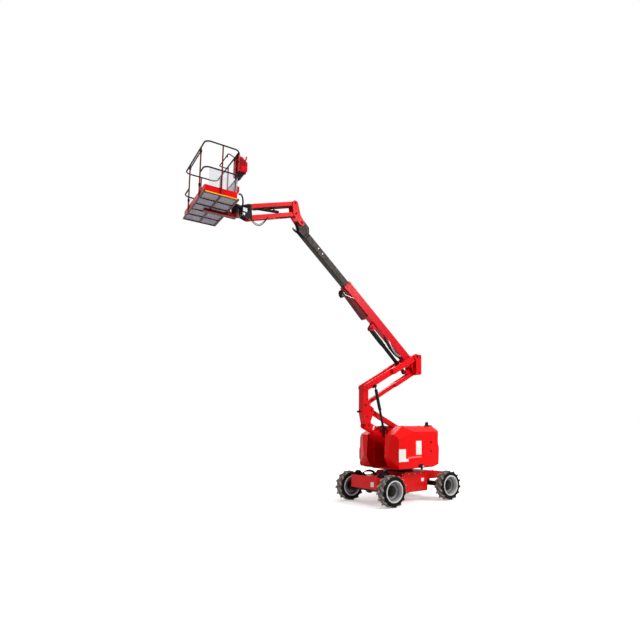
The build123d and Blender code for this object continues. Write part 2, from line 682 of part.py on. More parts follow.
def fly_boom():
    """Inner box boom with the head that carries the elbow."""
    d, w = FLY_DEPTH / 2, FLY_WIDTH / 2
    tube = span(FLY_TAIL, FLY_END, -w, w, -d, d)
    inside = span(FLY_TAIL - 10, FLY_END - PLATE, FLY_WALL - w, w - FLY_WALL, FLY_WALL - d,
                  d - FLY_WALL)
    head = [(FLY_END - 240, d - 1), (FLY_END - 130, ELBOW_RISE + 100), (ELBOW_REACH, ELBOW_RISE + 115),
            (ELBOW_REACH + 80, ELBOW_RISE + 80), (ELBOW_REACH + 110, ELBOW_RISE),
            (ELBOW_REACH + 60, ELBOW_RISE - 90), (FLY_END, -d + 30), (FLY_END - 240, -d + 30)]
    cheeks = twin_slab(head, (w - 24, w))
    boss = twin_rod((ELBOW_REACH, ELBOW_RISE), 60, (w - 24, 94))
    bore = cross_rod((ELBOW_REACH, ELBOW_RISE), PIN_R + RUN, -200, 200)
    return member(BOOM_PIN, BOOM_ELEVATION) * (tube - inside + cheeks + boss - bore)


def fly_pads():
    """Four slide pads round the fly's tail."""
    d, w = FLY_DEPTH / 2, FLY_WIDTH / 2
    top, out = BOOM_DEPTH / 2 - BOOM_WALL - SEAT, BOOM_WIDTH / 2 - BOOM_WALL - SEAT
    x0, x1 = FLY_TAIL + 5, FLY_TAIL + 110
    flat = span(x0, x1, -60, 60, d, top) + span(x0, x1, -60, 60, -top, -d)
    edge = span(x0, x1, w, out, -70, 70) + span(x0, x1, -out, -w, -70, 70)
    return member(BOOM_PIN, BOOM_ELEVATION) * (flat + edge)


# ---- jib ----

def elbow():
    """Two plates from the fly's head up to the jib's pins, with a back web."""
    px, pz = ELBOW_PIN
    tx, tz = JIB_TOP_PIN
    lx, lz = JIB_LOW_PIN
    side = [(tx - 60, tz + 40), (tx - 20, tz + 72), (tx + 60, tz + 60), (tx + 92, tz - 10),
            (px - 45, pz + 190), (px + 72, pz + 40), (px + 72, pz - 40), (px + 20, pz - 80),
            (px - 60, pz - 60), (lx - 30, lz - 80), (lx - 75, lz - 20), (tx - 75, tz - 60)]
    plates = twin_slab(side, JIB_PLATE)
    inner = JIB_PLATE[0]
    web = slab([(tx + 60, tz + 60), (tx + 92, tz - 10), (px - 45, pz + 200), (px - 60, pz + 200),
                (tx + 80, tz - 14), (tx + 50, tz + 54)], -inner, inner)
    pins = cross_rod(ELBOW_PIN, PIN_R, -inner - 20, inner + 20)
    pins += cross_rod(JIB_TOP_PIN, JIB_PIN_R, -inner - 20, inner + 20)
    pins += twin_rod(JIB_LOW_PIN, JIB_PIN_R, (46, inner + 20))
    return plates + web + pins


def jib_bars(start, depth, tie):
    """Two box bars side by side, joined by a flat tie."""
    y0, y1 = JIB_BAR
    bar = box_lever(JIB_LENGTH, depth, (y0, y1), 5, 60)
    flat = span(420, 620, -y0, y0, tie - 5, tie + 5)
    bores = cross_rod((0, 0), JIB_PIN_R + RUN, -100, 100)
    bores += cross_rod((JIB_LENGTH, 0), JIB_PIN_R + RUN, -100, 100)
    return member(start, -JIB_DROP) * (both(bar) + flat - bores)


def jib_head():
    """Plates on the jib's outer pins, with the collar that the platform turns in."""
    tx, tz = HEAD_TOP_PIN
    lx, lz = HEAD_LOW_PIN
    side = [(tx - 50, tz + 30), (tx + 10, tz + 50), (tx + 50, tz + 20), (lx + 50, lz - 10),
            (lx + 20, lz - 50), (lx - 30, lz - 50), (ROTATOR_X + 60, lz + 10),
            (ROTATOR_X + 60, tz - 60)]
    plates = twin_slab(side, JIB_PLATE)
    collar = post(ROTATOR_X, 0, 108, lz + 10, tz - 60)
    web = span(ROTATOR_X + 60, ROTATOR_X + 150, -JIB_PLATE[0], JIB_PLATE[0], lz + 10, tz - 60)
    bore = post(ROTATOR_X, 0, 70 + RUN, lz - 100, tz + 100)
    pins = cross_rod(HEAD_TOP_PIN, JIB_PIN_R, -JIB_PLATE[0] - 20, JIB_PLATE[0] + 20)
    pins += cross_rod(HEAD_LOW_PIN, JIB_PIN_R, -JIB_PLATE[0] - 20, JIB_PLATE[0] + 20)
    return plates + collar + web - bore + pins


# ---- platform ----
# Drawn about the rotator's axis with the floor at Z = 0, then turned and put in place.
BASKET_INNER = -BASKET_GAP
BASKET_OUTER = BASKET_INNER - BASKET_DEPTH
BASKET_END = BASKET_LENGTH / 2
TURN = Pos(ROTATOR_X, 0, BASKET_FLOOR) * Rot(0, 0, BASKET_TURN)


def rotator():
    """Shaft in the head's collar, and the bracket under the platform."""
    top = BASKET_DROP - 60
    low = BASKET_DROP + JIB_LINK_STEP[1] + 10
    shaft = post(0, 0, 70, low - 50, top + 20)
    cap = post(0, 0, 100, top + 2, top + 22)
    foot = post(0, 0, 105, low - 50, low - 2)
    arm = span(BASKET_OUTER + 260, 0, -60, 60, -50, -SEAT)
    seat = BASKET_INNER + 2
    gusset = [(seat, -50), (seat, 150), (seat + 40, 150), (-125, 20), (0, 20), (0, -50)]
    return TURN * (shaft + cap + foot + arm + slab(gusset, -70, 70))


def basket_frame():
    """Floor frame, posts and two rail loops, the lower one open at the entry."""
    x0, x1 = BASKET_OUTER + RAIL_R, BASKET_INNER - RAIL_R
    y = BASKET_END - RAIL_R
    top = RAIL_HEIGHT - RAIL_R
    rail = outline_frame(x0, x1, -y, y, top, 120, RAIL_R)
    mid = outline_frame(x0, x1, -y, y, MID_HEIGHT, 120, RAIL_R)
    mid -= span(x0 - 30, x0 + 30, *ENTRY, MID_HEIGHT - 30, MID_HEIGHT + 30)
    frame = span(x0 - 4, x1 + 15, -y - 15, y + 15, 0, 40)
    frame -= span(x0 + 25, x1 - 25, -y + 25, y - 25, -1, 41)
    bays = 2 * (y - 25) / FLOOR_BAYS
    for i in range(1, FLOOR_BAYS):
        across = i * bays - y + 25
        frame += span(x0 + 20, x1 - 20, across - 15, across + 15, 0, 20 - SEAT)
    middle = (x0 + x1) / 2
    frame += span(middle - 15, middle + 15, -y + 20, y - 20, 0, 20 - SEAT)
    posts = [(x0, ENTRY[0]), (x0, ENTRY[1]), (x1, -640), (x1, -40), (x1, 560),
             ((x0 + x1) / 2, -y), ((x0 + x1) / 2, y)]
    tubes = [post(px, py, POST_R, 20, top) for px, py in posts]
    return TURN * (frame + rail + mid + tubes)


def entry_bar():
    """Bar across the entry, whose sleeves slide up and down the two posts beside it."""
    x, z = BASKET_OUTER + RAIL_R, RAIL_HEIGHT - 105
    bar = cross_rod((x, z), 14, *ENTRY)
    sleeves = [post(x, y, POST_R + 9, z - 28, z + 28) for y in ENTRY]
    bores = [post(x, y, POST_R + RUN, z - 40, z + 40) for y in ENTRY]
    return TURN * (bar + sleeves - bores)


def basket_floor():
    """Floor panel that lies in the frame."""
    x0, x1 = BASKET_OUTER + RAIL_R + 25, BASKET_INNER - RAIL_R - 25
    y = BASKET_END - RAIL_R - 25
    return TURN * span(x0 + SEAT, x1 - SEAT, -y + SEAT, y - SEAT, 20, 36)


def toe_boards():
    """Upright sheet all round the floor, inside the posts."""
    x0, x1 = BASKET_OUTER + 2 * RAIL_R + 2, BASKET_INNER - 2 * RAIL_R - 2
    y = BASKET_END - 2 * RAIL_R - 2
    z0, z1 = 40 + SEAT, 190
    ring = span(x0, x1, -y, y, z0, z1) - span(x0 + 4, x1 - 4, -y + 4, y - 4, z0 - 1, z1 + 1)
    return TURN * ring


def control_box():
    """Platform console hung on the inner rail."""
    x0 = BASKET_INNER + SEAT
    top = RAIL_HEIGHT
    case = slab([(x0, top - 440), (x0, top - 5), (x0 + 8, top - 5), (x0 + 8, top - 110),
                 (x0 + 60, top - 90), (x0 + 190, top - 200), (x0 + 190, top - 410),
                 (x0 + 160, top - 440)], -800, -380)
    return TURN * case


# ---- write every piece ----
def wheel_at(shape, x, y):
    return Pos(x, y, TYRE_D / 2) * shape


pieces = {
    "chassis_frame": chassis_frame(),
    "drive_axle": drive_axle(),
    "steer_axle": steer_axle(),
    "steering_cylinder": steering_cylinder(),
    "slew_ring": slew_ring(),
    "turntable_frame": turntable(),
    "counterweight": counterweight(),
    "engine_block": pod_block(-500, 300, 1600, 1),
    "tank_block": pod_block(-600, 400, 1500, -1),
    "lower_arm": lower_arm(),
    "lower_link": lower_link(),
    "mid_upright": mid_upright(),
    "bump_stop": bump_stop(),
    "upper_arm": upper_arm(),
    "upper_link": upper_link(),
    "rear_upright": rear_upright(),
    "riser_cylinder_barrel": cylinder_barrel(RISER_BASE, RISER_EYE, RISER_Y, 34, 860, 24, 34, 60),
    "riser_cylinder_rod": cylinder_rod(RISER_BASE, RISER_EYE, RISER_Y, 20.4, 400, 34),
    "lift_cylinder_barrel": cylinder_barrel(LIFT_BASE, LIFT_EYE, 0, 55, 1180, 26, 44, 90),
    "lift_cylinder_rod": cylinder_rod(LIFT_BASE, LIFT_EYE, 0, 33, 760, 45),
    "main_boom": main_boom(),
    "wear_pads": wear_pads(),
    "hose_tray": hose_tray(),
    "fly_boom": fly_boom(),
    "fly_pads": fly_pads(),
    "elbow": elbow(),
    "jib_upper_bars": jib_bars(JIB_TOP_PIN, 100, 40),
    "jib_lower_bars": jib_bars(JIB_LOW_PIN, 104, -47),
    "jib_head": jib_head(),
    "jib_cylinder_barrel": cylinder_barrel(HEAD_TOP_PIN, JIB_LOW_PIN, 0, 34, 820, JIB_PIN_R, 40, 70),
    "jib_cylinder_rod": cylinder_rod(HEAD_TOP_PIN, JIB_LOW_PIN, 0, 20.4, 380, 45),
    "platform_bracket": rotator(),
    "basket_frame": basket_frame(),
    "basket_floor": basket_floor(),
    "toe_boards": toe_boards(),
    "control_box": control_box(),
    "entry_bar": entry_bar(),
}

one_tyre = tyre()
for side_name, side in (("near", -1), ("far", 1)):
    pieces["hood_" + side_name] = hood(side)
    pieces["knuckle_" + side_name] = knuckle(side)
    for end_name, end in (("drive", -1), ("steer", 1)):
        x = end * WHEELBASE / 2
        y = side * TRACK / 2
        pieces["tyre_" + end_name + "_" + side_name] = wheel_at(one_tyre, x, y)
        pieces["rim_" + end_name + "_" + side_name] = wheel_at(rim(side), x, y)

os.makedirs("parts", exist_ok=True)
for name, shape in pieces.items():
    export_step(shape, "parts/" + name + ".step")
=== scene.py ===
"""Articulated boom lift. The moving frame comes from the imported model, and each section below
dresses one group of its pieces with the finish and the fittings that the machine carries."""

import json
from math import cos, pi, radians, sin

import bmesh
import bpy
import numpy as np
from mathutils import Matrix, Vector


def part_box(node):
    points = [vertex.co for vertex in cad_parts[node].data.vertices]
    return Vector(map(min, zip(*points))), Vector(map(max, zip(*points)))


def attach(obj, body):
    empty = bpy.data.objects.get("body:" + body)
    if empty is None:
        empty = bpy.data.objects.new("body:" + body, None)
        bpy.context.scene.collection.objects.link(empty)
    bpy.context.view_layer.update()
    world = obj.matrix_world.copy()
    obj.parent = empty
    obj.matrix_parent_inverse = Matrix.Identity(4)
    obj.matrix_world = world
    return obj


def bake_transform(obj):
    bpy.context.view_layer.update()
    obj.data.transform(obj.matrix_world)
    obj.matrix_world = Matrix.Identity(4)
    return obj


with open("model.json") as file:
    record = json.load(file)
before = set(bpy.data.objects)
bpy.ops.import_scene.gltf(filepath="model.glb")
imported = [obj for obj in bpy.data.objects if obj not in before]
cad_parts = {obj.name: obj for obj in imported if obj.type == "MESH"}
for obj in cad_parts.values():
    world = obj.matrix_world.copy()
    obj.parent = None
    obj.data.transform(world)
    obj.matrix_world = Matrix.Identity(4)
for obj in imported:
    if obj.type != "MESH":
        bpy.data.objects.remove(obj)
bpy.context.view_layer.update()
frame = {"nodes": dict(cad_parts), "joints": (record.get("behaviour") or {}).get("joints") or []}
nodes = frame["nodes"]
pivot = {j["name"]: np.array(j["pos_m"]) for j in frame["joints"] if "pos_m" in j}

# ---------------------------------------------------------------- Red enamel
# Welded steel of the chassis, turntable, riser, boom and jib. It is sprayed with a glossy
# two-pack enamel that shows a fine orange peel, uneven gloss and a film of dust low down.


def srgb(r, g, b):
    """Linear colour of an 8-bit screen colour: each channel over 255, to the power 2.2."""
    return tuple((c / 255) ** 2.2 for c in (r, g, b)) + (1.0,)


def node(material, kind, **values):
    """New shader node whose named inputs are set to the given values."""
    made = material.node_tree.nodes.new(kind)
    for name, value in values.items():
        made.inputs[name.replace("_", " ")].default_value = value
    return made


def shader_of(material):
    """The material's Principled shader."""
    return material.node_tree.nodes["Principled BSDF"]


def maths(material, operation, first, second):
    """Result of a Math node whose two terms are each a number or a socket."""
    made = node(material, "ShaderNodeMath")
    made.operation = operation
    for socket, value in zip(made.inputs, (first, second)):
        if isinstance(value, float):
            socket.default_value = value
        else:
            material.node_tree.links.new(value, socket)
    return made.outputs[0]


def speckle(material, scale, detail=3.0, low=0.35, high=0.65):
    """Noise in object space, stretched so that low and high become 0 and 1."""
    links = material.node_tree.links
    place = material.node_tree.nodes.new("ShaderNodeTexCoord")
    noise = node(material, "ShaderNodeTexNoise", Scale=scale, Detail=detail)
    spread = node(material, "ShaderNodeMapRange", From_Min=low, From_Max=high)
    links.new(place.outputs["Object"], noise.inputs["Vector"])
    links.new(noise.outputs["Fac"], spread.inputs["Value"])
    return spread.outputs["Result"]


def mixed(material, factor, first, second):
    """Colour that goes from first to second with factor; each is a colour or a socket."""
    mix = node(material, "ShaderNodeMix")
    mix.data_type = "RGBA"
    for socket, value in ((mix.inputs[6], first), (mix.inputs[7], second)):
        if isinstance(value, tuple):
            socket.default_value = value
        else:
            material.node_tree.links.new(value, socket)
    material.node_tree.links.new(factor, mix.inputs[0])
    return mix.outputs[2]


def between(material, axis, low, high, soft):
    """1 where the object-space coordinate lies between low and high, fading over soft."""
    links = material.node_tree.links
    place = material.node_tree.nodes.new("ShaderNodeTexCoord")
    split = material.node_tree.nodes.new("ShaderNodeSeparateXYZ")
    links.new(place.outputs["Object"], split.inputs[0])
    rise = node(material, "ShaderNodeMapRange", From_Min=low - soft, From_Max=low)
    fall = node(material, "ShaderNodeMapRange", From_Min=high + soft, From_Max=high)
    links.new(split.outputs[axis], rise.inputs["Value"])
    links.new(split.outputs[axis], fall.inputs["Value"])
    return maths(material, "MULTIPLY", rise.outputs["Result"], fall.outputs["Result"])


def painted(name, colour, worn, roughness=(0.28, 0.42), peel=0.03, dust=0.0, shine=0.12):
    """Enamel: colour drifting to a worn tone, gloss that varies, a fine peel as bump, and dust
    that thickens from knee height down to the ground."""
    material = bpy.data.materials.new(name)
    material.use_nodes = True
    links = material.node_tree.links
    shader = shader_of(material)
    shader.inputs["Specular IOR Level"].default_value = shine
    surface = mixed(material, speckle(material, scale=2.3, detail=5.0), colour, worn)
    if dust:
        low_down = between(material, "Z", low=-1.0, high=0.25, soft=0.65)
        patch = maths(material, "MULTIPLY", low_down, speckle(material, scale=9.0, detail=8.0))
        sandy = srgb(150, 135, 118)
        surface = mixed(material, maths(material, "MULTIPLY", patch, dust), surface, sandy)
    links.new(surface, shader.inputs["Base Color"])
    gloss = node(material, "ShaderNodeMapRange", To_Min=roughness[0], To_Max=roughness[1])
    links.new(speckle(material, scale=14.0, detail=4.0), gloss.inputs["Value"])
    links.new(gloss.outputs["Result"], shader.inputs["Roughness"])
    bump = node(material, "ShaderNodeBump", Strength=peel, Distance=0.002)
    fine = speckle(material, scale=260.0, detail=2.0, low=0.2, high=0.8)
    links.new(fine, bump.inputs["Height"])
    links.new(bump.outputs["Normal"], shader.inputs["Normal"])
    return material


def finish(material, *names):
    """Gives CAD nodes a material in every slot."""
    for name in names:
        mesh = nodes[name].data
        mesh.materials.clear()
        mesh.materials.append(material)


red_enamel = painted("red_enamel", srgb(236, 4, 8), srgb(228, 4, 10))
red_low = painted("red_enamel_dusty", srgb(226, 6, 12), srgb(214, 8, 14), dust=0.10)
red_arm = painted("red_enamel_arm", srgb(224, 12, 20), srgb(212, 12, 22))
red_boom = painted("red_enamel_boom", srgb(212, 8, 32), srgb(198, 8, 32))
# Painted shade: the turntable frame and the slot wall panels take a darker copy of the red, which
# stands for the same red in shade.
frame_red_painted_shade = painted("red_enamel_frame_painted_shade", srgb(186, 4, 14), srgb(166, 4, 14))
finish(red_low, "chassis_frame")
finish(frame_red_painted_shade, "turntable_frame")
finish(red_enamel, "hood_near", "hood_far", "toe_boards")
finish(red_arm, "lower_arm", "lower_link", "mid_upright", "upper_arm", "upper_link",
       "rear_upright", "elbow", "jib_upper_bars", "jib_lower_bars")
finish(red_boom, "main_boom", "control_box")

# ---------------------------------------------------------------- Chassis fittings
# Blank white plates are riveted on the box body's side and end. The driven end carries its
# drive-motor hoses and the axle's lock brackets, and lashing eyes are welded at the corners.


def grid_faces(rows, columns, wrap_rows=False, wrap_columns=False):
    """Quads of a rows by columns grid of points numbered row by row; wrapping joins the last
    row or column to the first."""
    i = np.arange(rows if wrap_rows else rows - 1)[:, None]
    j = np.arange(columns if wrap_columns else columns - 1)[None, :]
    up, right = (i + 1) % rows, (j + 1) % columns
    corners = (i * columns + j, i * columns + right, up * columns + right, up * columns + j)
    return np.stack([c + 0 * (i + j) for c in corners], -1).reshape(-1, 4)


def capped(rings, sides):
    """Faces of a stack of rings: quads all round, then the first and the last ring as ends. Each
    group holds the faces that have the same number of corners."""
    first = np.arange(sides)[None]
    return [grid_faces(rings, sides, wrap_columns=True), first[:, ::-1],
            first + (rings - 1) * sides]


def turned(profile, centre, axis=(0, 1, 0), sides=40):
    """Profile of (radius, distance along the axis) turned about the axis: a point is the centre
    plus distance times the axis plus radius times the turning unit vector."""
    axis = np.array(axis, float) / np.linalg.norm(axis)
    side = np.cross(axis, (0, 0, 1) if abs(axis[2]) < 0.9 else (1, 0, 0))
    side /= np.linalg.norm(side)
    angle = np.linspace(0, 2 * pi, sides, endpoint=False)
    around = np.cos(angle)[:, None] * side + np.sin(angle)[:, None] * np.cross(axis, side)
    radius, along = np.array(profile, float).T
    points = np.array(centre) + along[:, None, None] * axis + radius[:, None, None] * around
    return points.reshape(-1, 3), capped(len(radius), sides)


def hooped(profile, centre, axis=(0, 1, 0), sides=40):
    """Ring with a closed profile of (radius, distance along the axis), turned about the axis."""
    points, _ = turned(profile, centre, axis, sides)
    return points, [grid_faces(len(profile), sides, wrap_rows=True, wrap_columns=True)]


def flowing(points, steps=10):
    """Smooth line through points: each run is a Catmull-Rom cubic of its four neighbours."""
    p = np.array(points, float)
    p = np.vstack([2 * p[0] - p[1], p, 2 * p[-1] - p[-2]])
    t = np.linspace(0, 1, steps, endpoint=False)[None, :, None]
    a, b, c, d = (p[k:len(p) - 3 + k][:, None, :] for k in range(4))
    run = 0.5 * (2 * b + (c - a) * t + (2 * a - 5 * b + 4 * c - d) * t**2
                 + (3 * b - a - 3 * c + d) * t**3)
    return np.vstack([run.reshape(-1, 3), p[-2]])


def piped(line, radius, sides=10):
    """Round tube along a line: circles square to the line's direction, closed at both ends."""
    line = np.array(line, float)
    heading = np.gradient(line, axis=0)
    heading /= np.linalg.norm(heading, axis=1)[:, None]
    spread = np.ptp(line, axis=0)
    flat = np.eye(3)[int(np.argmin(spread))]
    side = np.cross(heading, flat)
    side /= np.maximum(np.linalg.norm(side, axis=1), 1e-9)[:, None]
    other = np.cross(heading, side)
    angle = np.linspace(0, 2 * pi, sides, endpoint=False)
    points = line[:, None] + radius * (np.cos(angle)[:, None] * side[:, None]
                                       + np.sin(angle)[:, None] * other[:, None])
    return points.reshape(-1, 3), capped(len(line), sides)


def slab(outline, start, across, along, out, thick, edge=0.002):
    """Plate: an outline of (across, along) distances from start, raised by thick along out, with
    its front edge drawn in by edge towards the outline's middle."""
    shape = np.array(outline, float)
    middle = shape.mean(0)
    inward = middle - shape
    inward /= np.linalg.norm(inward, axis=1)[:, None]
    across, along, out = (np.array(v, float) for v in (across, along, out))
    rings = []
    for flat, height in ((shape, 0.0), (shape, thick - edge), (shape + inward * edge, thick)):
        rings.append(np.array(start) + flat[:, :1] * across + flat[:, 1:] * along + height * out)
    return np.vstack(rings), capped(len(rings), len(shape))


def copies(part, places):
    """The same part moved to each place: its points plus each offset, and its faces numbered on
    by the count of its points."""
    points, groups = part
    places = np.array(places, float)
    moved = (points[None] + places[:, None]).reshape(-1, 3)
    onward = len(points) * np.arange(len(places))[:, None, None]
    return moved, [(group + onward).reshape(-1, group.shape[1]) for group in groups]


def fitted(name, parts, material, body):
    """One object of joined parts, smooth across small angles. It rides on the body, or on none when
    no body is given."""
    points, faces, start = [], [], 0
    for part_points, groups in parts:
        points.append(part_points)
        for group in groups:
            faces += (group + start).tolist()
        start += len(part_points)
    mesh = bpy.data.meshes.new(name)
    mesh.from_pydata(np.vstack(points), [], faces)
    mesh.polygons.foreach_set("use_smooth", [True] * len(mesh.polygons))
    mesh.set_sharp_from_angle(angle=radians(35))
    mesh.materials.append(material)
    made = bpy.data.objects.new(name, mesh)
    bpy.context.scene.collection.objects.link(made)
    recalculate(mesh)
    if body:
        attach(made, body)
    return made


def recalculate(mesh):
    """Turns every face outwards."""
    work = bmesh.new()
    work.from_mesh(mesh)
    bmesh.ops.recalc_face_normals(work, faces=work.faces)
    work.to_mesh(mesh)
    work.free()


def rectangle(x0, x1, z0, z1):
    """Corners of a rectangle from its two ends each way."""
    return [(x0, z0), (x1, z0), (x1, z1), (x0, z1)]


X, Y, Z = np.eye(3)
black_enamel = painted("black_enamel", srgb(14, 13, 14), srgb(26, 24, 24), (0.35, 0.55), 0.08)
black_low = painted("black_enamel_dusty", srgb(14, 13, 14), srgb(26, 24, 23), (0.4, 0.6), 0.1,
                    dust=0.12)
white_plate = painted("white_plate", srgb(240, 238, 234), srgb(226, 223, 216), (0.4, 0.5), 0.02)
hose_black = painted("hose_black", srgb(12, 12, 13), srgb(24, 24, 24), (0.55, 0.7), 0.12)
steel = painted("zinc_plated_steel", srgb(176, 178, 182), srgb(140, 140, 142), (0.25, 0.4), 0.04)
shader_of(steel).inputs["Metallic"].default_value = 0.85

end_x, side_y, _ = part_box("chassis_frame")[0]
fitted("chassis_plates", [
    slab(rectangle(0.315, 0.42, 0.555, 0.65), (0, side_y, 0), X, Z, -Y, 0.003),
    slab(rectangle(-0.45, -0.315, 0.50, 0.625), (end_x, 0, 0), Y, Z, -X, 0.003),
], white_plate, "chassis")

hex_head = turned([(0.0005, 0.012), (0.013, 0.012), (0.015, 0.009), (0.015, 0.0)], (0, 0, 0),
                  -Y, 6)
side_bolts = [(x, side_y, 0.79) for x in (-0.42, -0.18, 0.06, 0.30)]
fitted("chassis_bolts", [copies(hex_head, side_bolts)], steel, "chassis")

eye_radius, eye_wire = 0.034, 0.009
eye_turn = np.linspace(0, 2 * pi, 25)
eyes = []
for x, y, level in ((-0.93, -0.44, 0.745), (-0.93, 0.44, 0.745), (0.95, -0.44, 0.79),
                    (0.95, 0.44, 0.79)):
    ring = np.stack([x + eye_radius * np.cos(eye_turn), 0 * eye_turn + y,
                     level + eye_radius * np.sin(eye_turn)], 1)
    eyes.append(piped(ring, eye_wire))
fitted("lashing_eyes", eyes, black_low, "chassis")

end_deck = 0.742
motor_hoses = []
for side in (-1, 1):
    for lift, spread in ((0.135, 0.0), (0.115, 0.035), (0.095, 0.07)):
        y = side * (0.30 + spread)
        motor_hoses.append(piped(flowing([
            (-0.62, y - side * 0.04, end_deck), (-0.70, y, end_deck + lift * 0.75),
            (-0.80, y + side * 0.05, end_deck + lift),
            (-0.92, y + side * 0.10, end_deck + lift * 0.8),
            (-1.01, y + side * 0.14, end_deck)]), 0.015))
fitted("drive_motor_hoses", motor_hoses, hose_black, "chassis")
fitted("hose_glands", [
    slab(rectangle(-0.045, 0.045, -0.10, 0.10), (x, y, 0.735), X, Y, Z, 0.03, 0.006)
    for x in (-0.62, -1.01) for y in (-0.38, 0.38)], black_low, "chassis")
lock_gusset = [(-1.245, 0.734), (-0.865, 0.734), (-0.860, 0.775), (-0.950, 0.800),
               (-1.040, 0.884), (-1.085, 0.884), (-1.200, 0.800), (-1.245, 0.775)]
fitted("axle_lock_brackets", [
    slab(lock_gusset, (0, side * y, 0), X, Z, side * Y, 0.012, 0.003)
    for side in (-1, 1) for y in (0.50, 0.59)] + [
    turned([(0.030, -0.055), (0.034, -0.050), (0.034, 0.050), (0.030, 0.055)],
           (-1.06, side * 0.551, 0.845), Y, 24) for side in (-1, 1)],
    black_low, "chassis")
finish(black_low, "drive_axle", "steer_axle", "steering_cylinder", "slew_ring", "knuckle_near",
       "knuckle_far")

# ---------------------------------------------------------------- Wheels
# Lugged tyres of worn black rubber sit on pressed steel rims in silver grey. Each carries a
# black planetary hub with its cover bolts, wheel nuts, a valve and moulded rings on the wall.


def from_axle(material, axle):
    """Distance of a point of the wheel from its axle, in object space."""
    links = material.node_tree.links
    place = material.node_tree.nodes.new("ShaderNodeTexCoord")
    centred = node(material, "ShaderNodeMapping", Location=(-axle[0], 0, -axle[2]), Scale=(1, 0, 1))
    reach = node(material, "ShaderNodeVectorMath")
    reach.operation = "LENGTH"
    links.new(place.outputs["Object"], centred.inputs["Vector"])
    links.new(centred.outputs["Vector"], reach.inputs[0])
    return reach.outputs["Value"]


def rim_with_painted_shade(name, axle):
    """Silver enamel ringed about the axle with painted shade: full silver on the flange, darkened
    down the drop of the well, lighter on the disc, and darkest round the hub."""
    material = painted(name, srgb(236, 236, 236), srgb(214, 214, 214), (0.3, 0.45), 0.05,
                       dust=0.1, shine=0.4)
    links = material.node_tree.links
    shader = shader_of(material)
    silver = shader.inputs["Base Color"].links[0].from_socket
    ramp = material.node_tree.nodes.new("ShaderNodeValToRGB")
    # painted shade: distance from the axle, and the grey level out of 255 that darkens the silver
    steps = ((0.10, 20), (0.14, 70), (0.185, 150), (0.215, 96), (0.238, 60), (0.250, 190),
             (0.262, 255))
    while len(ramp.color_ramp.elements) < len(steps):
        ramp.color_ramp.elements.new(0.5)
    for element, (radius, level) in zip(ramp.color_ramp.elements, steps):
        element.position, element.color = radius, srgb(level, level, level)
    shade = node(material, "ShaderNodeMix")
    shade.data_type, shade.blend_type = "RGBA", "MULTIPLY"
    shade.inputs[0].default_value = 1.0
    links.new(from_axle(material, axle), ramp.inputs["Fac"])
    links.new(silver, shade.inputs[6])
    links.new(ramp.outputs["Color"], shade.inputs[7])
    links.new(shade.outputs[2], shader.inputs["Base Color"])
    return material


def tyre_pale_lug_tops(name, axle):
    """Rubber whose colour follows the distance from the axle: near black in the grooves and on the
    wall, and a patchy sandy grey on the lug tops, which stand out farthest from the axle."""
    material = painted(name, srgb(16, 16, 17), srgb(28, 27, 26), (0.7, 0.9), 0.5)
    links = material.node_tree.links
    shader = shader_of(material)
    rubber = shader.inputs["Base Color"].links[0].from_socket
    lug_tops = node(material, "ShaderNodeMapRange", From_Min=0.383, From_Max=0.396)
    patchy = node(material, "ShaderNodeMapRange", To_Min=0.55, To_Max=1.0)
    links.new(from_axle(material, axle), lug_tops.inputs["Value"])
    links.new(speckle(material, scale=16.0, detail=6.0), patchy.inputs["Value"])
    lug_top_share = maths(material, "MULTIPLY", lug_tops.outputs["Result"], patchy.outputs["Result"])
    links.new(mixed(material, lug_top_share, rubber, srgb(162, 154, 145)), shader.inputs["Base Color"])
    return material


nut_circle, cover_circle, wall_out = 0.116, 0.068, 0.1405
for end in ("drive", "steer"):
    tyre_rubber = tyre_pale_lug_tops("tyre_rubber_" + end, pivot["wheel_" + end + "_near_spin"])
    rim_silver_painted_shade = rim_with_painted_shade("rim_silver_painted_shade_" + end, pivot["wheel_" + end + "_near_spin"])
    for hand, out in (("near", -1), ("far", 1)):
        wheel = end + "_" + hand
        finish(tyre_rubber, "tyre_" + wheel)
        finish(rim_silver_painted_shade, "rim_" + wheel)
        axle = pivot["wheel_" + wheel + "_spin"]
        facing = np.array([0, out, 0])
        hub = turned([(0.125, -0.008), (0.125, 0.004), (0.112, 0.012), (0.104, 0.03),
                      (0.096, 0.06), (0.080, 0.078), (0.058, 0.084), (0.050, 0.096),
                      (0.020, 0.100), (0.0005, 0.100)], axle, facing, 48)
        turns = np.linspace(0, 2 * pi, 10, endpoint=False)
        circle = np.stack([np.cos(turns), 0 * turns, np.sin(turns)], 1)
        nut = turned([(0.0005, 0.026), (0.011, 0.024), (0.015, 0.018), (0.015, 0.0)], (0, 0, 0),
                     facing, 6)
        cover = turned([(0.0005, 0.008), (0.006, 0.008), (0.007, 0.0)], (0, 0, 0), facing, 6)
        fitted("hub_" + wheel, [hub, copies(nut, axle + nut_circle * circle + 0.008 * facing),
                                copies(cover, axle + cover_circle * circle + 0.079 * facing)],
               black_low, "wheel_" + wheel)
        rings = [hooped([(r - 0.006, 0.0), (r - 0.004, 0.006), (r + 0.004, 0.006),
                         (r + 0.006, 0.0)], axle + (wall_out + lift) * facing, facing, 72)
                 for r, lift in ((0.318, 0.002), (0.334, 0.003))]
        fitted("tyre_rings_" + wheel, rings, tyre_rubber, "wheel_" + wheel)
        lock = hooped([(0.262, 0.137), (0.264, 0.1425), (0.270, 0.1445), (0.277, 0.1425),
                       (0.278, 0.134)], axle, facing, 72)
        valve = piped([axle + (0.19, out * 0.03, 0.05), axle + (0.185, out * 0.085, 0.05)], 0.006)
        fitted("rim_trim_" + wheel, [lock, valve], rim_silver_painted_shade, "wheel_" + wheel)

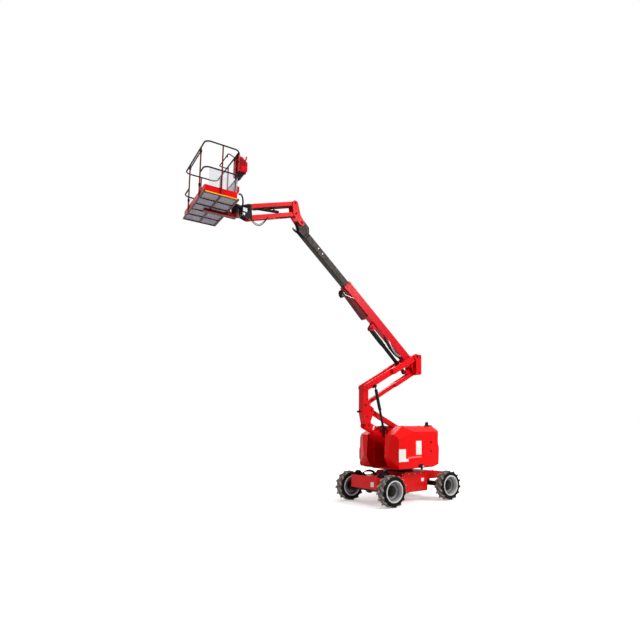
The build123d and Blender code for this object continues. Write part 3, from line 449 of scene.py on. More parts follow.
# ---------------------------------------------------------------- Turntable and tail
# Tail weight in the machine's enamel and engine in bare cast grey. A black coupling with a steel
# cap is bolted low on the near cover, and pressed panels stiffen the slot wall of each pod.
cast_grey = painted("cast_grey", srgb(70, 70, 72), srgb(54, 54, 55), (0.5, 0.75), 0.35)
finish(red_enamel, "counterweight")
finish(cast_grey, "engine_block")
cover_face, wall_face = 0.8802, 0.3602
coupling = np.array([0.06, -cover_face, 0.0])
fitted("tow_coupling", [
    slab([(-0.095, 0.968), (0.095, 0.968), (0.095, 1.030), (0.035, 1.070), (-0.030, 1.070),
          (-0.095, 1.030)], coupling, X, Z, -Y, 0.034, 0.010),
    turned([(0.0005, -0.042), (0.030, -0.042), (0.036, -0.030), (0.036, 0.018), (0.026, 0.026),
            (0.0005, 0.026)], coupling + (0.02, -0.008, 0.962), Z, 28),
], black_enamel, "hood_near")
fitted("coupling_cap", [
    turned([(0.028, 0.0), (0.030, 0.006), (0.026, 0.016), (0.0005, 0.018)],
           coupling + (0.045, -0.033, 1.008), -Y, 28)], steel, "hood_near")
slot_wall = []
for side in (-1, 1):
    for x0, x1, z0, z1 in ((-0.66, -0.30, 1.10, 1.42), (-0.66, -0.30, 1.50, 1.80),
                           (-0.22, 0.16, 1.10, 1.80)):
        slot_wall.append(slab(rectangle(x0, x1, z0, z1), (0, side * wall_face, 0), X, Z,
                              -side * Y, 0.012, 0.010))
# The panels take the darker red of painted shade.
fitted("slot_wall_panels", slot_wall, frame_red_painted_shade, "turntable")

# ---------------------------------------------------------------- Hoods
# Moulded covers of both pods. Each has blank white plates, a grip pocket with a lower lip made
# bright by painted highlight, two quarter-turn latches and a lock, and the near one carries the
# flashing beacon.
moulded_black = painted("moulded_black", srgb(18, 17, 18), srgb(30, 29, 30), (0.5, 0.65), 0.15)
# Painted highlight: the lip's pale pink-red stands for light caught on the ledge below each grip
# pocket.
lip_painted_highlight = painted("lip_painted_highlight", srgb(250, 96, 84), srgb(244, 84, 74), (0.35, 0.45), 0.02)
for hand, side in (("near", -1), ("far", 1)):
    skin = side * cover_face
    out = side * Y
    plate_end = -0.79 if side > 0 else -0.765
    fitted("hood_plates_" + hand, [
        slab([(plate_end, 1.16), (-0.415, 1.16), (-0.415, 1.232), (-0.515, 1.236),
              (-0.515, 1.50), (plate_end, 1.50)], (0, skin, 0), X, Z, out, 0.003, 0.0005),
        slab(rectangle(-0.135, 0.075, 1.335, 1.715), (0, skin + side * 0.007, 0), X, Z, out,
             0.003),
    ], white_plate, "hood_" + hand)
    pocket = slab([(-0.40, 1.28), (0.12, 1.31), (0.12, 1.76), (-0.30, 1.76), (-0.40, 1.55)],
                  (0, skin, 0), X, Z, out, 0.008, 0.007)
    fitted("hood_pocket_" + hand, [pocket], red_enamel, "hood_" + hand)
    ledge_x = np.linspace(-0.44, 0.07, 24)
    depth = 0.006 + 0.020 * np.sin(np.linspace(0.15, pi - 0.5, 24)) ** 0.7
    low_z = 1.238 + 0.03 * (ledge_x + 0.44)
    rows = [np.stack([ledge_x, skin + side * d, z], 1) for d, z in (
        (0 * depth, low_z - 0.004), (depth, low_z), (depth, low_z + 0.006),
        (0 * depth + 0.001, low_z + 0.02 + 1.6 * depth))]
    fitted("hood_lip_" + hand, [(np.vstack(rows), [grid_faces(4, 24)])], lip_painted_highlight, "hood_" + hand)
    latch = turned([(0.026, 0.0), (0.026, 0.008), (0.022, 0.012), (0.014, 0.012), (0.012, 0.018),
                    (0.0005, 0.018)], (0, 0, 0), out, 28)
    lock = turned([(0.014, 0.0), (0.014, 0.005), (0.010, 0.007), (0.0005, 0.007)],
                  (0.165, skin, 1.52), out, 24)
    latch_x, latch_levels = 0.46, (1.673, 1.418)
    fitted("hood_latches_" + hand, [
        copies(latch, [(latch_x, skin, level) for level in latch_levels]), lock] + [
        slab(rectangle(-0.006, 0.006, -0.03, 0.03), (latch_x, skin + side * 0.014, level), X, Z,
             out, 0.008) for level in latch_levels], moulded_black, "hood_" + hand)
hood_top = 2.1302
fitted("beacon", [
    turned([(0.080, 0.0), (0.080, 0.012), (0.066, 0.022), (0.050, 0.028), (0.048, 0.078),
            (0.044, 0.098), (0.034, 0.110), (0.016, 0.116), (0.0005, 0.117)],
           (0.585, -0.58, hood_top), Z, 40),
    slab(rectangle(0.67, 0.76, -0.62, -0.50), (0, 0, hood_top), X, Y, Z, 0.022, 0.006)],
       moulded_black, "hood_near")
cap_nut = turned([(0.018, 0.0), (0.018, 0.010), (0.012, 0.018), (0.0005, 0.020)], (0, 0, 0), Z, 20)
fitted("hood_top_fittings", [copies(cap_nut, [(0.70, -0.44, hood_top), (0.64, -0.44, hood_top)])],
       moulded_black, "hood_near")

# ---------------------------------------------------------------- Riser pins and plumbing
# Every pivot has a turned pin with a keeper plate and bolt on each side. Rubber hoses feed the
# foot of the riser cylinder, whose rod runs in a sleeve. Both are finished black.
link_step = pivot["lower_link_swing"] - pivot["riser_lift"]
foot_link = pivot["mid_upright_level"] + link_step


def pin_heads(centre, half, radius, height, turn=0.6):
    """Both ends of a pin: a chamfered disc, and a keeper plate bolted beside it."""
    parts = []
    centre = np.array(centre) * (1, 0, 1)
    for side in (-1, 1):
        face = centre + side * half * Y
        parts.append(turned([(radius, 0.0), (radius, height - 0.003), (radius - 0.003, height),
                             (0.012, height), (0.009, height - 0.004), (0.0005, height - 0.004)],
                            face, side * Y, 28))
        lie = np.array([cos(turn), 0, sin(turn)])
        stand = np.array([-sin(turn), 0, cos(turn)])
        parts.append(slab(rectangle(radius * 0.5, radius + 0.024, -0.009, 0.009),
                          face, lie, stand, side * Y, height + 0.002))
        parts.append(turned([(0.007, 0.0), (0.007, 0.005), (0.0005, 0.006)],
                            face + lie * (radius + 0.014) + side * (height + 0.001) * Y, side * Y,
                            6))
    return parts


for name, body, centre, half, radius, height, turn in (
    # name, body, centre, half width, head radius, head height, keeper's turn
    ("tower_pins", "turntable", pivot["riser_lift"], 0.1605, 0.030, 0.012, 0.3),
    ("tower_link_pins", "turntable", pivot["lower_link_swing"], 0.1605, 0.030, 0.012, 0.3),
    ("foot_pins", "mid_upright", pivot["mid_upright_level"], 0.1368, 0.028, 0.008, 1.2),
    ("head_pins", "mid_upright", pivot["upper_arm_lift"], 0.1368, 0.028, 0.008, 2.6),
    ("foot_link_pins", "mid_upright", foot_link, 0.1085, 0.025, 0.010, 2.2),
    ("head_link_pins", "mid_upright", pivot["upper_link_swing"], 0.1085, 0.025, 0.010, 2.8),
    ("rear_pins", "rear_upright", pivot["rear_upright_level"], 0.2535, 0.032, 0.012, 2.4),
):
    fitted(name, pin_heads(centre, half, radius, height, turn), black_enamel, body)

web_face = -0.1082
stop_bolt = turned([(0.020, 0.0), (0.020, 0.010), (0.0005, 0.011)], (0, 0, 0), -Y, 6)
fitted("upright_stop_bolts", [
    copies(stop_bolt, [(-1.273, web_face, 2.876), (-1.262, web_face, 2.40),
                       (-1.16, web_face, 2.74)]),
], black_enamel, "mid_upright")
fitted("lower_arm_plate", [
    slab([(-0.030, -0.055), (0.012, -0.055), (0.030, 0.055), (-0.012, 0.055)],
         (-1.06, -0.1362, 2.083), (1, 0, -0.1), (0.1, 0, 1), -Y, 0.003, 0.0005),
], white_plate, "lower_arm")

riser_foot = pivot["riser_barrel_swing"]
riser_eye = np.array([-1.0444, riser_foot[1], 3.2551])
riser_way = (riser_eye - riser_foot) / np.linalg.norm(riser_eye - riser_foot)
riser_sleeve_reach = 0.675
sleeve = [(0.041, 0.0), (0.0445, 0.004), (0.0445, 0.560), (0.036, 0.572), (0.024, 0.572),
          (0.024, 0.566), (0.034, 0.564), (0.041, 0.554)]
fitted("riser_base_hoses", [
    piped(flowing([(-0.97, -0.150, 2.03), (-0.90, y, 2.12), (-0.80, y, 2.14), (-0.69, y, 2.05),
                   (-0.62, y, 1.92), (-0.55, y + 0.02, 1.80)]), 0.012)
    for y in (-0.236, -0.262)] + [
    piped(flowing([(-0.85, -0.150, 1.96), (-0.78, -0.238, 2.06), (-0.68, -0.240, 2.03),
                   (-0.60, -0.238, 1.90), (-0.55, -0.225, 1.78)]), 0.010)],
    hose_black, "lower_arm")
fitted("riser_rod_sleeve", [hooped(sleeve, riser_eye - riser_sleeve_reach * riser_way, riser_way)],
       black_enamel, "riser_rod")
finish(black_enamel, "riser_cylinder_barrel", "lift_cylinder_barrel", "jib_cylinder_barrel",
       "jib_head")

# The jib's rod is hard chromed steel. The other two rods are black, as their sleeves are; on the
# lift rod the black is painted shade.
chrome = painted("chromed_rod", srgb(205, 207, 212), srgb(188, 190, 196), (0.08, 0.16), 0.01)
shader_of(chrome).inputs["Metallic"].default_value = 1.0
finish(chrome, "jib_cylinder_rod")
# Painted shade: the lift cylinder's rod is given black enamel in place of its chrome.
finish(black_enamel, "lift_cylinder_rod", "riser_cylinder_rod")

# The rear upright's back plate is bolted through, and two bolts hold its near outer plate.
back_x, plate_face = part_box("rear_upright")[1][0] - 0.001, -0.2532
back_bolt = turned([(0.0005, 0.016), (0.016, 0.016), (0.018, 0.012), (0.018, 0.0)], (0, 0, 0), X, 6)
fitted("rear_upright_bolts", [
    copies(back_bolt, [(back_x, y, z) for y in (-0.20, -0.09, 0.09, 0.20) for z in (3.86, 4.14)]),
    copies(stop_bolt, [(0.60, plate_face, 3.75), (0.64, plate_face, 4.20)]),
], black_enamel, "rear_upright")

# ---------------------------------------------------------------- Boom
# Box boom in two sections with its slide-pad screws, the hose tray below, its steel pipe, and
# the hoses that hang in loops beside the lift cylinder.
tilt = radians(39.65)
boom_pin = pivot["boom_lift"]
boom_way = np.array([-cos(tilt), 0, sin(tilt)])
boom_up = np.array([sin(tilt), 0, cos(tilt)])


def on_boom(along, rise, y):
    """Point at a distance along the boom from its pin, square to it by rise, and across by y."""
    return boom_pin + along * boom_way + rise * boom_up + y * Y


# Painted shade: the hose tray under the boom is a dark crimson that stands for red enamel in shade.
tray_painted_shade = painted("tray_painted_shade", srgb(96, 4, 14), srgb(70, 4, 12), (0.4, 0.55), 0.06)
finish(tray_painted_shade, "hose_tray")
fly_grey = painted("fly_grey", srgb(56, 48, 43), srgb(50, 43, 38), (0.35, 0.55), 0.05)
finish(fly_grey, "fly_boom")
finish(moulded_black, "tank_block", "wear_pads", "fly_pads", "bump_stop")
collar_face, box_wall, fly_wall = -0.1082, 0.1002, 0.0761
pad_screw = turned([(0.013, 0.0), (0.013, 0.006), (0.0005, 0.007)], (0, 0, 0), -Y, 12)
fitted("slide_pad_screws", [
    copies(pad_screw, [on_boom(s, r, collar_face) for s in (3.115, 3.155) for r in (-0.05, 0.05)]),
], black_enamel, "main_boom")
fitted("tray_pipe", [piped(flowing([(x, -0.0900, z) for x, z in (
    (-2.105, 5.80), (-2.04, 5.73), (-1.90, 5.70), (-1.733, 5.664), (-1.60, 5.58), (-1.50, 5.49))]),
    0.008)], steel, "main_boom")
fitted("tray_hoses", [piped(flowing([(x, y, z) for x, z in (
    (-2.125, 5.86), (-2.150, 5.80), (-2.140, 5.72), (-2.08, 5.66))]), 0.014)
    for y in (-0.06, -0.02, 0.02, 0.06)], hose_black, "main_boom")
boom_hoses = []
for k in range(6):
    # three pairs, each pair hanging lower than the last, and its second hose lies outside
    y = -0.086 - 0.024 * (k % 2)
    sag = 0.028 * (k // 2) + 0.010 * (k % 2)
    boom_hoses.append(piped(flowing([
        on_boom(0.36, -0.118, -0.088), on_boom(0.42, -0.17 - sag * 0.5, y),
        on_boom(0.62, -0.215 - sag, y), on_boom(0.90, -0.225 - sag, y),
        on_boom(1.18, -0.185 - sag * 0.6, y), on_boom(1.34, -0.118, -0.088)]), 0.012))
fitted("boom_hoses", boom_hoses, hose_black, "main_boom")
fitted("braided_hoses", [piped(flowing([
    on_boom(0.46, -0.118, -0.092), on_boom(0.52, -0.17 - sag, -0.126),
    on_boom(0.68, -0.225 - sag, -0.132), on_boom(0.88, -0.205 - sag, -0.132),
    on_boom(1.04, -0.165, -0.126), on_boom(1.12, -0.118, -0.092)]), 0.009)
    for sag in (0.0, 0.035)], steel, "main_boom")
fitted("boom_weld_strips", [
    slab(rectangle(0.30, 3.06, -0.112, -0.104), on_boom(0, 0, side * box_wall), boom_way, boom_up,
         side * Y, 0.003, 0.002)
    for side in (-1, 1)], red_enamel, "main_boom")
lift_base = pivot["lift_barrel_swing"]
lift_eye = on_boom(1.764, -0.292, 0)
lift_sleeve_reach = 0.560
lift_way = (lift_eye - lift_base) / np.linalg.norm(lift_eye - lift_base)
lift_side = np.array([-lift_way[2], 0, lift_way[0]])
fitted("lift_cylinder_pipe", [piped(flowing([
    lift_base + s * lift_way - r * lift_side + 0.02 * -Y
    for s, r in ((0.16, 0.045), (0.19, 0.066), (0.30, 0.068), (0.40, 0.066), (0.43, 0.045))]),
    0.007)], steel, "lift_barrel")
sleeve = [(0.064, 0.0), (0.069, 0.005), (0.069, 0.480), (0.058, 0.500), (0.036, 0.500),
          (0.036, 0.494), (0.056, 0.492), (0.064, 0.474)]
fitted("lift_rod_sleeve", [hooped(sleeve, lift_eye - lift_sleeve_reach * lift_way, lift_way)],
       black_enamel, "lift_rod")
fitted("lift_pins", pin_heads(lift_base, 0.0625, 0.036, 0.010, 1.0), black_enamel, "rear_upright")
fitted("lift_eye_pins", pin_heads(lift_eye, 0.0765, 0.032, 0.008, 1.0), black_enamel, "main_boom")

# Fly section: two pale grease points and a guide rail on the side, straps round the head, and
# the loops of its hoses below it.
pale_cap = turned([(0.020, 0.0), (0.020, 0.003), (0.015, 0.006), (0.0005, 0.006)], (0, 0, 0), -Y,
                  20)
fly_side = -0.0762
fitted("fly_grease_caps", [copies(pale_cap, [on_boom(4.40, 0.035, fly_side),
                                             on_boom(4.23, 0.020, fly_side)])],
       white_plate, "fly_boom")
fitted("fly_side_rails", [
    slab(rectangle(3.30, 4.80, -0.095, -0.075), on_boom(0, 0, side * fly_wall), boom_way, boom_up,
         side * Y, 0.004, 0.003)
    for side in (-1, 1)], moulded_black, "fly_boom")
elbow_pin = pivot["platform_level"]
fly_head = []
for k in range(6):
    along, y = 4.84 + 0.055 * k, -0.06 + 0.022 * k
    fly_head.append(piped(flowing([
        on_boom(along, -0.090, y), on_boom(along + 0.010, -0.115, y),
        on_boom(along + 0.045, -0.128, y), on_boom(along + 0.085, -0.115, y),
        on_boom(along + 0.100, -0.088, y)]), 0.017))
fitted("fly_head_hoses", fly_head, hose_black, "fly_boom")
fitted("fly_head_straps", [
    slab(rectangle(s, s + 0.03, -0.09, 0.09), on_boom(0, 0, side * fly_wall), boom_way, boom_up,
         side * Y, 0.006, 0.004) for s in (4.80, 4.87) for side in (-1, 1)],
    moulded_black, "fly_boom")
for name, body, centre, half, radius, height, turn in (
    ("elbow_pins", "elbow", elbow_pin, 0.1155, 0.028, 0.010, 2.2),
    ("jib_top_pins", "elbow", pivot["jib_lift"], 0.1155, 0.022, 0.010, 0.9),
    ("jib_low_pins", "elbow", pivot["jib_lower_swing"], 0.1155, 0.022, 0.010, 0.9),
    ("jib_head_pins", "jib_head", pivot["jib_head_level"], 0.1155, 0.022, 0.010, 2.2),
):
    fitted(name, pin_heads(centre, half, radius, height, turn), black_enamel, body)

# ---------------------------------------------------------------- Jib hoses and head
# A black hose lies along each bar in clips, one hangs in a loop under the lower bars, and the
# head carries its valve block and steel fittings.
drop = radians(20.02)
jib_way = np.array([-cos(drop), 0, -sin(drop)])
jib_up = np.array([-sin(drop), 0, cos(drop)])
jib_top, jib_low = pivot["jib_lift"], pivot["jib_lower_swing"]


def on_jib(start, along, rise, y):
    """Point at a distance along a jib bar from its pin, square to it by rise, across by y."""
    return start + along * jib_way + rise * jib_up + y * Y


fitted("jib_upper_hose", [piped(flowing([on_jib(jib_top, s, -0.058, y) for s in
                                         (0.10, 0.30, 0.60, 0.90, 1.16)]), 0.014)
                          for y in (-0.077, -0.048, 0.07)], hose_black, "jib_upper")
fitted("jib_lower_hose", [piped(flowing([on_jib(jib_low, s, -0.062, -0.078) for s in
                                         (0.10, 0.25, 0.45, 0.60)]), 0.015)], hose_black,
       "jib_lower")
fitted("jib_hose_loop", [
    piped(flowing([(x, -0.098, z) for x, z in (
        (-4.838, 7.115), (-4.815, 7.055), (-4.74, 7.005), (-4.647, 6.995), (-4.55, 7.06),
        (-4.48, 7.158), (-4.40, 7.285))]), 0.010),
    piped(flowing([(x, -0.072, z) for x, z in (
        (-4.790, 7.125), (-4.765, 7.075), (-4.69, 7.040), (-4.61, 7.050), (-4.52, 7.13),
        (-4.46, 7.205), (-4.42, 7.275))]), 0.008)], hose_black, "jib_lower")
clip_parts = []
for start, rise in ((jib_top, -0.050), (jib_low, -0.052)):
    for s in (0.22, 0.42, 0.60):
        clip_parts.append(slab(rectangle(s - 0.012, s + 0.012, -0.026, 0.004),
                               start + rise * jib_up - 0.092 * Y, jib_way, jib_up, Y, 0.03, 0.002))
fitted("jib_upper_clips", clip_parts[:3], moulded_black, "jib_upper")
fitted("jib_lower_clips", clip_parts[3:], moulded_black, "jib_lower")
rotator = pivot["platform_rotate"] * (1, 0, 0)
valve_x, hose_y = rotator[0] + 0.16, -0.14
fitted("rotator_valve_block", [
    slab(rectangle(-0.055, 0.055, -0.05, 0.05), (valve_x, -0.111, 7.27), X, Z, -Y, 0.055, 0.006),
    slab(rectangle(-0.03, 0.03, -0.03, 0.03), (valve_x - 0.02, -0.111, 7.17), X, Z, -Y, 0.04,
         0.005)], steel, "jib_head")
fitted("rotator_fittings", [
    turned([(0.016, 0.0), (0.016, 0.02), (0.011, 0.024), (0.011, 0.05), (0.0005, 0.05)],
           (valve_x + dx, hose_y, 7.32), Z, 6) for dx in (-0.03, 0.0, 0.03)] + [
    turned([(0.014, 0.0), (0.014, 0.03), (0.0005, 0.03)], (valve_x + dx, hose_y, 7.215), -Z, 6)
    for dx in (-0.03, 0.03)], black_enamel, "jib_head")
fitted("head_hoses", [
    piped(flowing([(valve_x + 0.03, hose_y, 7.36), (valve_x + 0.06, -0.145, 7.41),
                   (valve_x + 0.10, -0.142, 7.38), (valve_x + 0.12, -0.138, 7.30)]), 0.010),
    piped(flowing([(valve_x - 0.03, hose_y, 7.20), (valve_x - 0.02, -0.145, 7.11),
                   (valve_x + 0.05, -0.145, 7.07), (valve_x + 0.11, hose_y, 7.09)]), 0.010),
], hose_black, "jib_head")

# ---------------------------------------------------------------- Platform cage
# Round-tube cage: black rails on dark red posts, galvanised wire mesh behind the lower bay, and
# a floor of expanded metal. An amber strip on the near toe board's lower edge is a painted
# highlight.
turn = radians(-5)
floor_level = float(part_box("basket_floor")[0][2]) - 0.020
cage_x = np.array([cos(turn), sin(turn), 0])
cage_y = np.array([-sin(turn), cos(turn), 0])
cage_origin = rotator + floor_level * Z


def in_cage(x, y, z):
    """Point of the turned platform, from the rotator's axis at floor level."""
    return cage_origin + x * cage_x + y * cage_y + z * Z


rail_height, mid_share = 1.190, 0.492
rail_z, mid_z = floor_level + rail_height, floor_level + mid_share * rail_height
# Painted shade: the platform bracket under the floor is a dark red that stands for the red in
# shade.
bracket_red_painted_shade = painted("dark_red_enamel", srgb(118, 6, 18), srgb(92, 6, 14))
cage_paint = painted("cage_enamel", srgb(128, 10, 24), srgb(104, 8, 20))
cage_shader = shader_of(cage_paint)
red_part = cage_shader.inputs["Base Color"].links[0].from_socket
top_band = between(cage_paint, "Z", rail_z - 0.037, rail_z + 0.1, 0.001)
mid_band = between(cage_paint, "Z", mid_z - 0.019, mid_z + 0.019, 0.001)
# Painted shade: the frame round the floor turns a darker red, standing for the shade under the
# platform.
floor_frame_painted_shade = between(cage_paint, "Z", floor_level - 0.1, floor_level + 0.0195, 0.001)
rails = maths(cage_paint, "MAXIMUM", top_band, mid_band)
cage_colour = mixed(cage_paint, rails, red_part, srgb(26, 22, 24))
cage_colour = mixed(cage_paint, floor_frame_painted_shade, cage_colour, srgb(64, 10, 16))
cage_paint.node_tree.links.new(cage_colour, cage_shader.inputs["Base Color"])
finish(cage_paint, "basket_frame")
finish(bracket_red_painted_shade, "platform_bracket")
finish(black_enamel, "entry_bar")

zinc = painted("zinc_mesh", srgb(206, 206, 216), srgb(178, 178, 190), (0.4, 0.6), 0.1)
# Painted shade: the deck's dark base between the pale strands stands for the shade on the floor
# seen from below.
deck_metal = painted("expanded_metal", srgb(96, 90, 100), srgb(70, 62, 66), (0.45, 0.6), 0.1)
deck_links = deck_metal.node_tree.links
deck_shader = shader_of(deck_metal)
deck_base_painted_shade = deck_shader.inputs["Base Color"].links[0].from_socket
place = deck_metal.node_tree.nodes.new("ShaderNodeTexCoord")
strands = []
for slant in (0.5, -0.5):
    lay = node(deck_metal, "ShaderNodeMapping", Rotation=(0, 0, slant))
    wave = node(deck_metal, "ShaderNodeTexWave", Scale=11.0)
    wave.bands_direction = "Y"
    deck_links.new(place.outputs["Object"], lay.inputs["Vector"])
    deck_links.new(lay.outputs["Vector"], wave.inputs["Vector"])
    line = node(deck_metal, "ShaderNodeMapRange", From_Min=0.60, From_Max=0.75)
    deck_links.new(wave.outputs["Fac"], line.inputs["Value"])
    strands.append(line.outputs["Result"])
crossing = maths(deck_metal, "MAXIMUM", *strands)
deck_links.new(mixed(deck_metal, crossing, srgb(214, 212, 224), deck_base_painted_shade),
               deck_shader.inputs["Base Color"])
relief = node(deck_metal, "ShaderNodeBump", Strength=0.6, Distance=0.004)
deck_links.new(crossing, relief.inputs["Height"])
deck_links.new(relief.outputs["Normal"], deck_shader.inputs["Normal"])
finish(deck_metal, "basket_floor")


def wire_mesh(start, across, up, width, height, pitch, wire):
    """Welded mesh: square wires every pitch, both ways, as thin bars on the panel's plane."""
    out = np.cross(across, up)
    parts = []
    bar = np.array([(-1, -1), (1, -1), (1, 1), (-1, 1)], float) * wire / 2
    for run, other, length, room in ((across, up, width, height), (up, across, height, width)):
        count = int(room / pitch)
        offsets = np.linspace(pitch / 2, room - pitch / 2, count)
        ends = np.array([0.0, length])
        points = (start + ends[None, :, None, None] * run
                  + (offsets[:, None, None, None] + bar[None, None, :, :1]) * other
                  + bar[None, None, :, 1:] * out)
        corner = 8 * np.arange(count)[:, None, None]
        quads = np.array([(0, 1, 5, 4), (1, 2, 6, 5), (2, 3, 7, 6), (3, 0, 4, 7), (3, 2, 1, 0),
                          (4, 5, 6, 7)])[None]
        parts.append((points.reshape(-1, 3), [(corner + quads).reshape(-1, 4)]))
    return parts


gap, cage_depth, cage_half, rail = 0.217, 0.780, 0.900, 0.017
inner, outer = -gap - rail, -gap - cage_depth + rail
end = cage_half - rail
mesh_low, mesh_high = 0.195, mid_share * rail_height - rail
corner_gap, pitch, wire = 0.10, 0.022, 0.0035
panels = []
for start, across, width in (
    (in_cage(outer + corner_gap, -end, mesh_low), cage_x, inner - outer - 2 * corner_gap),
    (in_cage(outer + corner_gap, end, mesh_low), cage_x, inner - outer - 2 * corner_gap),
    (in_cage(inner, -end + corner_gap, mesh_low), cage_y, 2 * end - 2 * corner_gap),
):
    panels += wire_mesh(start, across, Z, width, mesh_high - mesh_low, pitch, wire)
fitted("cage_mesh", panels, zinc, "platform")

# Painted highlight: the amber strip stands for light caught on the near toe board's lower edge.
amber = painted("amber_painted_highlight", srgb(250, 190, 60), srgb(240, 150, 40), (0.4, 0.5), 0.03)
fitted("amber_painted_highlight", [
    slab(rectangle(outer + 0.03, inner - 0.02, 0.010, 0.037), in_cage(0, -end - 0.0152, 0),
         cage_x, Z, -cage_y, 0.002, 0.001)], amber, "platform")
fitted("post_collars", [
    hooped([(0.0165, -0.03), (0.024, -0.03), (0.024, 0.03), (0.0165, 0.03)],
           in_cage(outer, y, 0.30), Z, 24) for y in (-0.52, 0.42)], black_enamel, "platform")

# ---------------------------------------------------------------- Platform console
# The console is a red steel box on the inner rail with a sloping switch panel, levers under a
# black guard hoop, a lifting ring, and the cable that leaves its foot for the rotator.
mid_y, end_y = -0.59, -0.8004
slope = 0.71
panel_out = slope * (X + Z)
fitted("console_panel", [
    slab(rectangle(-0.17, 0.17, -0.075, 0.075), in_cage(-gap + 0.128, mid_y, 1.0465),
         cage_y, slope * (Z - cage_x), slope * (Z + cage_x), 0.004),
    slab(rectangle(-0.030, 0.030, -0.10, 0.10), in_cage(-gap + 0.1905, mid_y - 0.08, 0.87),
         cage_y, Z, cage_x, 0.004),
], moulded_black, "platform")
stick = turned([(0.018, 0.0), (0.016, 0.02), (0.008, 0.03), (0.007, 0.055), (0.012, 0.062),
                (0.013, 0.08), (0.008, 0.088), (0.0005, 0.089)], (0, 0, 0), panel_out, 20)
switch = turned([(0.011, 0.0), (0.011, 0.008), (0.007, 0.011), (0.0005, 0.011)], (0, 0, 0),
                panel_out, 16)
fitted("console_levers", [
    copies(stick, [in_cage(-gap + 0.131, mid_y + y, 1.0495) for y in (-0.12, 0.0, 0.12)]),
    copies(switch, [in_cage(-gap + 0.165, mid_y + y, 1.0155)
                    for y in (-0.15, -0.10, -0.05, 0.05, 0.10, 0.15)]),
], moulded_black, "platform")
fitted("console_ribs", [
    slab(rectangle(-0.010, 0.010, -0.05, 0.13), in_cage(-gap + 0.1903, mid_y + y, 0.90), cage_y, Z,
         cage_x, 0.014, 0.004) for y in (0.03, 0.16)], red_enamel, "platform")
fitted("console_slots", [
    slab(rectangle(-gap + x0, -gap + x1, z0, z1), in_cage(0, end_y, 0), cage_x, Z, -cage_y,
         0.004, 0.002) for x0, x1, z0, z1 in (
             (0.045, 0.150, 1.000, 1.018), (0.045, 0.150, 0.955, 0.973),
             (0.045, 0.150, 0.910, 0.928), (0.020, 0.032, 0.79, 1.12))] + [
    slab(rectangle(-0.79, -0.39, 0.005, 0.150), in_cage(-gap, 0, 0.7505), cage_y, cage_x, -Z,
         0.014, 0.003)], moulded_black, "platform")
fitted("console_door", [
    slab([(-gap + 0.045, 0.80), (-gap + 0.150, 0.80), (-gap + 0.172, 0.84), (-gap + 0.172, 0.88),
          (-gap + 0.045, 0.88)], in_cage(0, end_y, 0), cage_x, Z, -cage_y, 0.007, 0.005)],
       red_enamel, "platform")
ring_turn, ring_radius = np.linspace(0, 2 * pi, 33), 0.040
ring_centre = in_cage(-gap + 0.185, mid_y - 0.12, 1.138)
ring_line = (ring_centre + ring_radius * np.cos(ring_turn)[:, None] * cage_y
             + ring_radius * np.sin(ring_turn)[:, None] * Z)
fitted("console_lifting_ring", [
    piped(ring_line, 0.009), piped([in_cage(-gap + 0.20, mid_y - 0.09, 1.12),
                                    in_cage(-gap + 0.12, mid_y + 0.05, 1.105)], 0.009)],
       red_enamel, "platform")
fitted("console_guard", [
    piped(flowing([in_cage(-gap - x, y, z) for x, y, z in (
        (0.012, -0.80, 0.955), (0.09, -0.74, 1.05), (0.175, -0.655, 1.142), (0.20, -0.60, 1.160),
        (0.20, -0.42, 1.160), (0.20, -0.20, 1.160), (0.20, 0.0, 1.160), (0.185, 0.030, 1.160),
        (0.15, 0.045, 1.160), (0.03, 0.045, 1.160))]), 0.013),
    turned([(0.012, 0.0), (0.016, 0.015), (0.016, 0.05), (0.010, 0.06), (0.0005, 0.06)],
           in_cage(-gap - 0.20, -0.56, 1.165), -Z, 20),
], black_enamel, "platform")
fitted("console_stay", [
    piped([in_cage(-gap + 0.005, mid_y + y, 0.60), in_cage(-gap + 0.165, mid_y + y, 0.757)], 0.012)
    for y in (-0.175, 0.165)], black_enamel, "platform")
fitted("console_cable", [
    piped(flowing([in_cage(-gap + x, mid_y + y, z) for x, y, z in (
        (0.10, 0.10, 0.755), (0.085, 0.11, 0.70), (0.055, 0.13, 0.62), (0.05, 0.15, 0.50))]),
          0.012)], hose_black, "platform")
fitted("junction_box", [
    slab(rectangle(-0.56, -0.42, 0.36, 0.49), in_cage(-gap + 0.045, 0, 0), cage_y, Z, cage_x,
         0.058, 0.008),
    slab(rectangle(-0.53, -0.45, 0.38, 0.47), in_cage(-gap - 0.004, 0, 0), cage_y, Z, cage_x,
         0.050, 0.002)], red_boom, "platform")
platform_hose = fitted("platform_hose", [
    piped(flowing([(-5.315, -0.46, 7.452), (-5.285, -0.42, 7.487), (-5.235, -0.365, 7.512),
                   (-5.180, -0.315, 7.495), (-5.141, -0.270, 7.440), (-5.115, -0.215, 7.365),
                   (-5.110, -0.170, 7.310), (-5.100, -0.130, 7.290), (-5.080, -0.118, 7.288)]),
          0.019)], hose_black, None)
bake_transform(platform_hose)

# ---------------------------------------------------------------- Studio
# Pale paper floor that keeps the machine's shadow, white surroundings, and four soft lamps. The
# eye, gloss and glass meet the floor's glow and full white air; other rays meet dimmer air.


def looked_at(owner):
    """One for a ray from the camera, off gloss or through glass, and nought for any other:
    the three flags are added and held at one."""
    path = owner.node_tree.nodes.new("ShaderNodeLightPath")
    total = path.outputs["Is Camera Ray"]
    for flag in ("Is Glossy Ray", "Is Transmission Ray"):
        both = owner.node_tree.nodes.new("ShaderNodeMath")
        both.use_clamp = True
        owner.node_tree.links.new(total, both.inputs[0])
        owner.node_tree.links.new(path.outputs[flag], both.inputs[1])
        total = both.outputs[0]
    return total


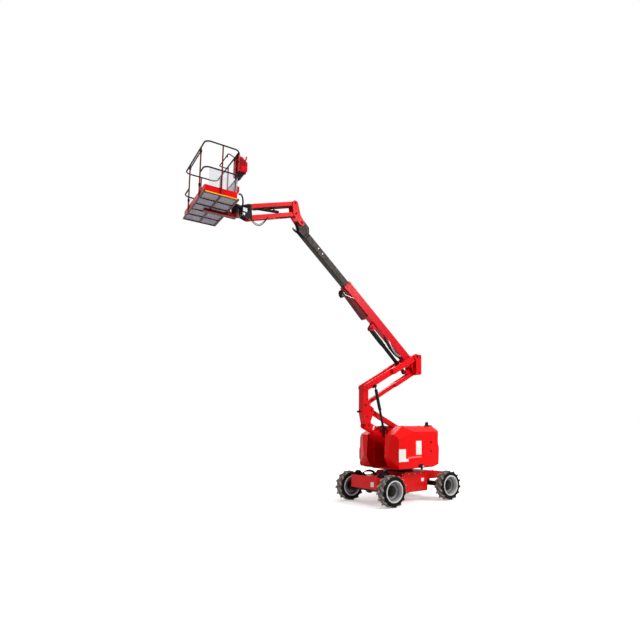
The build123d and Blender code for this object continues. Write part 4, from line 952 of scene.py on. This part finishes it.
floor_mesh = bpy.data.meshes.new("studio_floor")
reach = 60.0
floor_mesh.from_pydata([(-reach, -reach, 0), (reach, -reach, 0), (reach, reach, 0),
                        (-reach, reach, 0)], [], [(0, 1, 2, 3)])
floor = bpy.data.objects.new("studio_floor", floor_mesh)
bpy.context.scene.collection.objects.link(floor)
floor_paper = bpy.data.materials.new("floor_paper")
floor_paper.use_nodes = True
paper_links = floor_paper.node_tree.links
paper = shader_of(floor_paper)
paper.inputs["Base Color"].default_value = (0.86, 0.86, 0.86, 1)
paper.inputs["Roughness"].default_value = 0.9
paper.inputs["Emission Color"].default_value = (1, 1, 1, 1)
spot = floor_paper.node_tree.nodes.new("ShaderNodeTexCoord")
away = node(floor_paper, "ShaderNodeVectorMath")
away.operation = "LENGTH"
glow = node(floor_paper, "ShaderNodeMapRange", From_Min=2.5, From_Max=9.0, To_Min=0.42, To_Max=0.9)
paper_links.new(spot.outputs["Object"], away.inputs[0])
paper_links.new(away.outputs["Value"], glow.inputs["Value"])
paper_links.new(maths(floor_paper, "MULTIPLY", looked_at(floor_paper), glow.outputs["Result"]),
                paper.inputs["Emission Strength"])
floor_mesh.materials.append(floor_paper)

world = bpy.data.worlds.new("studio_air")
bpy.context.scene.world = world
world.use_nodes = True
air = world.node_tree.nodes["Background"]
air.inputs["Color"].default_value = (1, 1, 1, 1)
strength = world.node_tree.nodes.new("ShaderNodeMapRange")
strength.inputs["To Min"].default_value = 0.36
strength.inputs["To Max"].default_value = 1.0
world.node_tree.links.new(looked_at(world), strength.inputs["Value"])
world.node_tree.links.new(strength.outputs["Result"], air.inputs["Strength"])

machine_middle = np.array([-1.5, 0.0, 3.0])
for lamp_name, place, power, size in (
    # name, place, watts, width
    ("key_lamp", (6.0, -13.0, 12.0), 1900.0, 5.0),
    ("side_lamp", (-12.0, -7.0, 7.0), 90.0, 6.0),
    ("back_lamp", (4.0, 12.0, 12.0), 420.0, 7.0),
    ("top_lamp", (-2.0, -3.0, 17.0), 900.0, 7.0),
):
    lamp = bpy.data.lights.new(lamp_name, "AREA")
    lamp.energy, lamp.size = power, size
    holder = bpy.data.objects.new(lamp_name, lamp)
    bpy.context.scene.collection.objects.link(holder)
    aim = machine_middle - np.array(place)
    lean = np.arccos(-aim[2] / np.linalg.norm(aim))
    holder.location = place
    holder.rotation_euler = (lean, 0, np.arctan2(-aim[0], aim[1]))

# The camera stands low beside the driven axle and looks slightly up along the machine.
lens = bpy.data.cameras.new("camera")
lens.sensor_width = 36.0
lens.lens = 27.917
lens.shift_x = -0.1215
lens.shift_y = 0.0747
lens.clip_end = 200.0
camera = bpy.data.objects.new("camera", lens)
bpy.context.scene.collection.objects.link(camera)
camera.location = (-9.766, -11.100, 2.147)
camera.rotation_euler = (radians(90 + 6.623), 0, radians(-41.231))
bpy.context.scene.camera = camera
bpy.context.scene.view_settings.view_transform = "Standard"
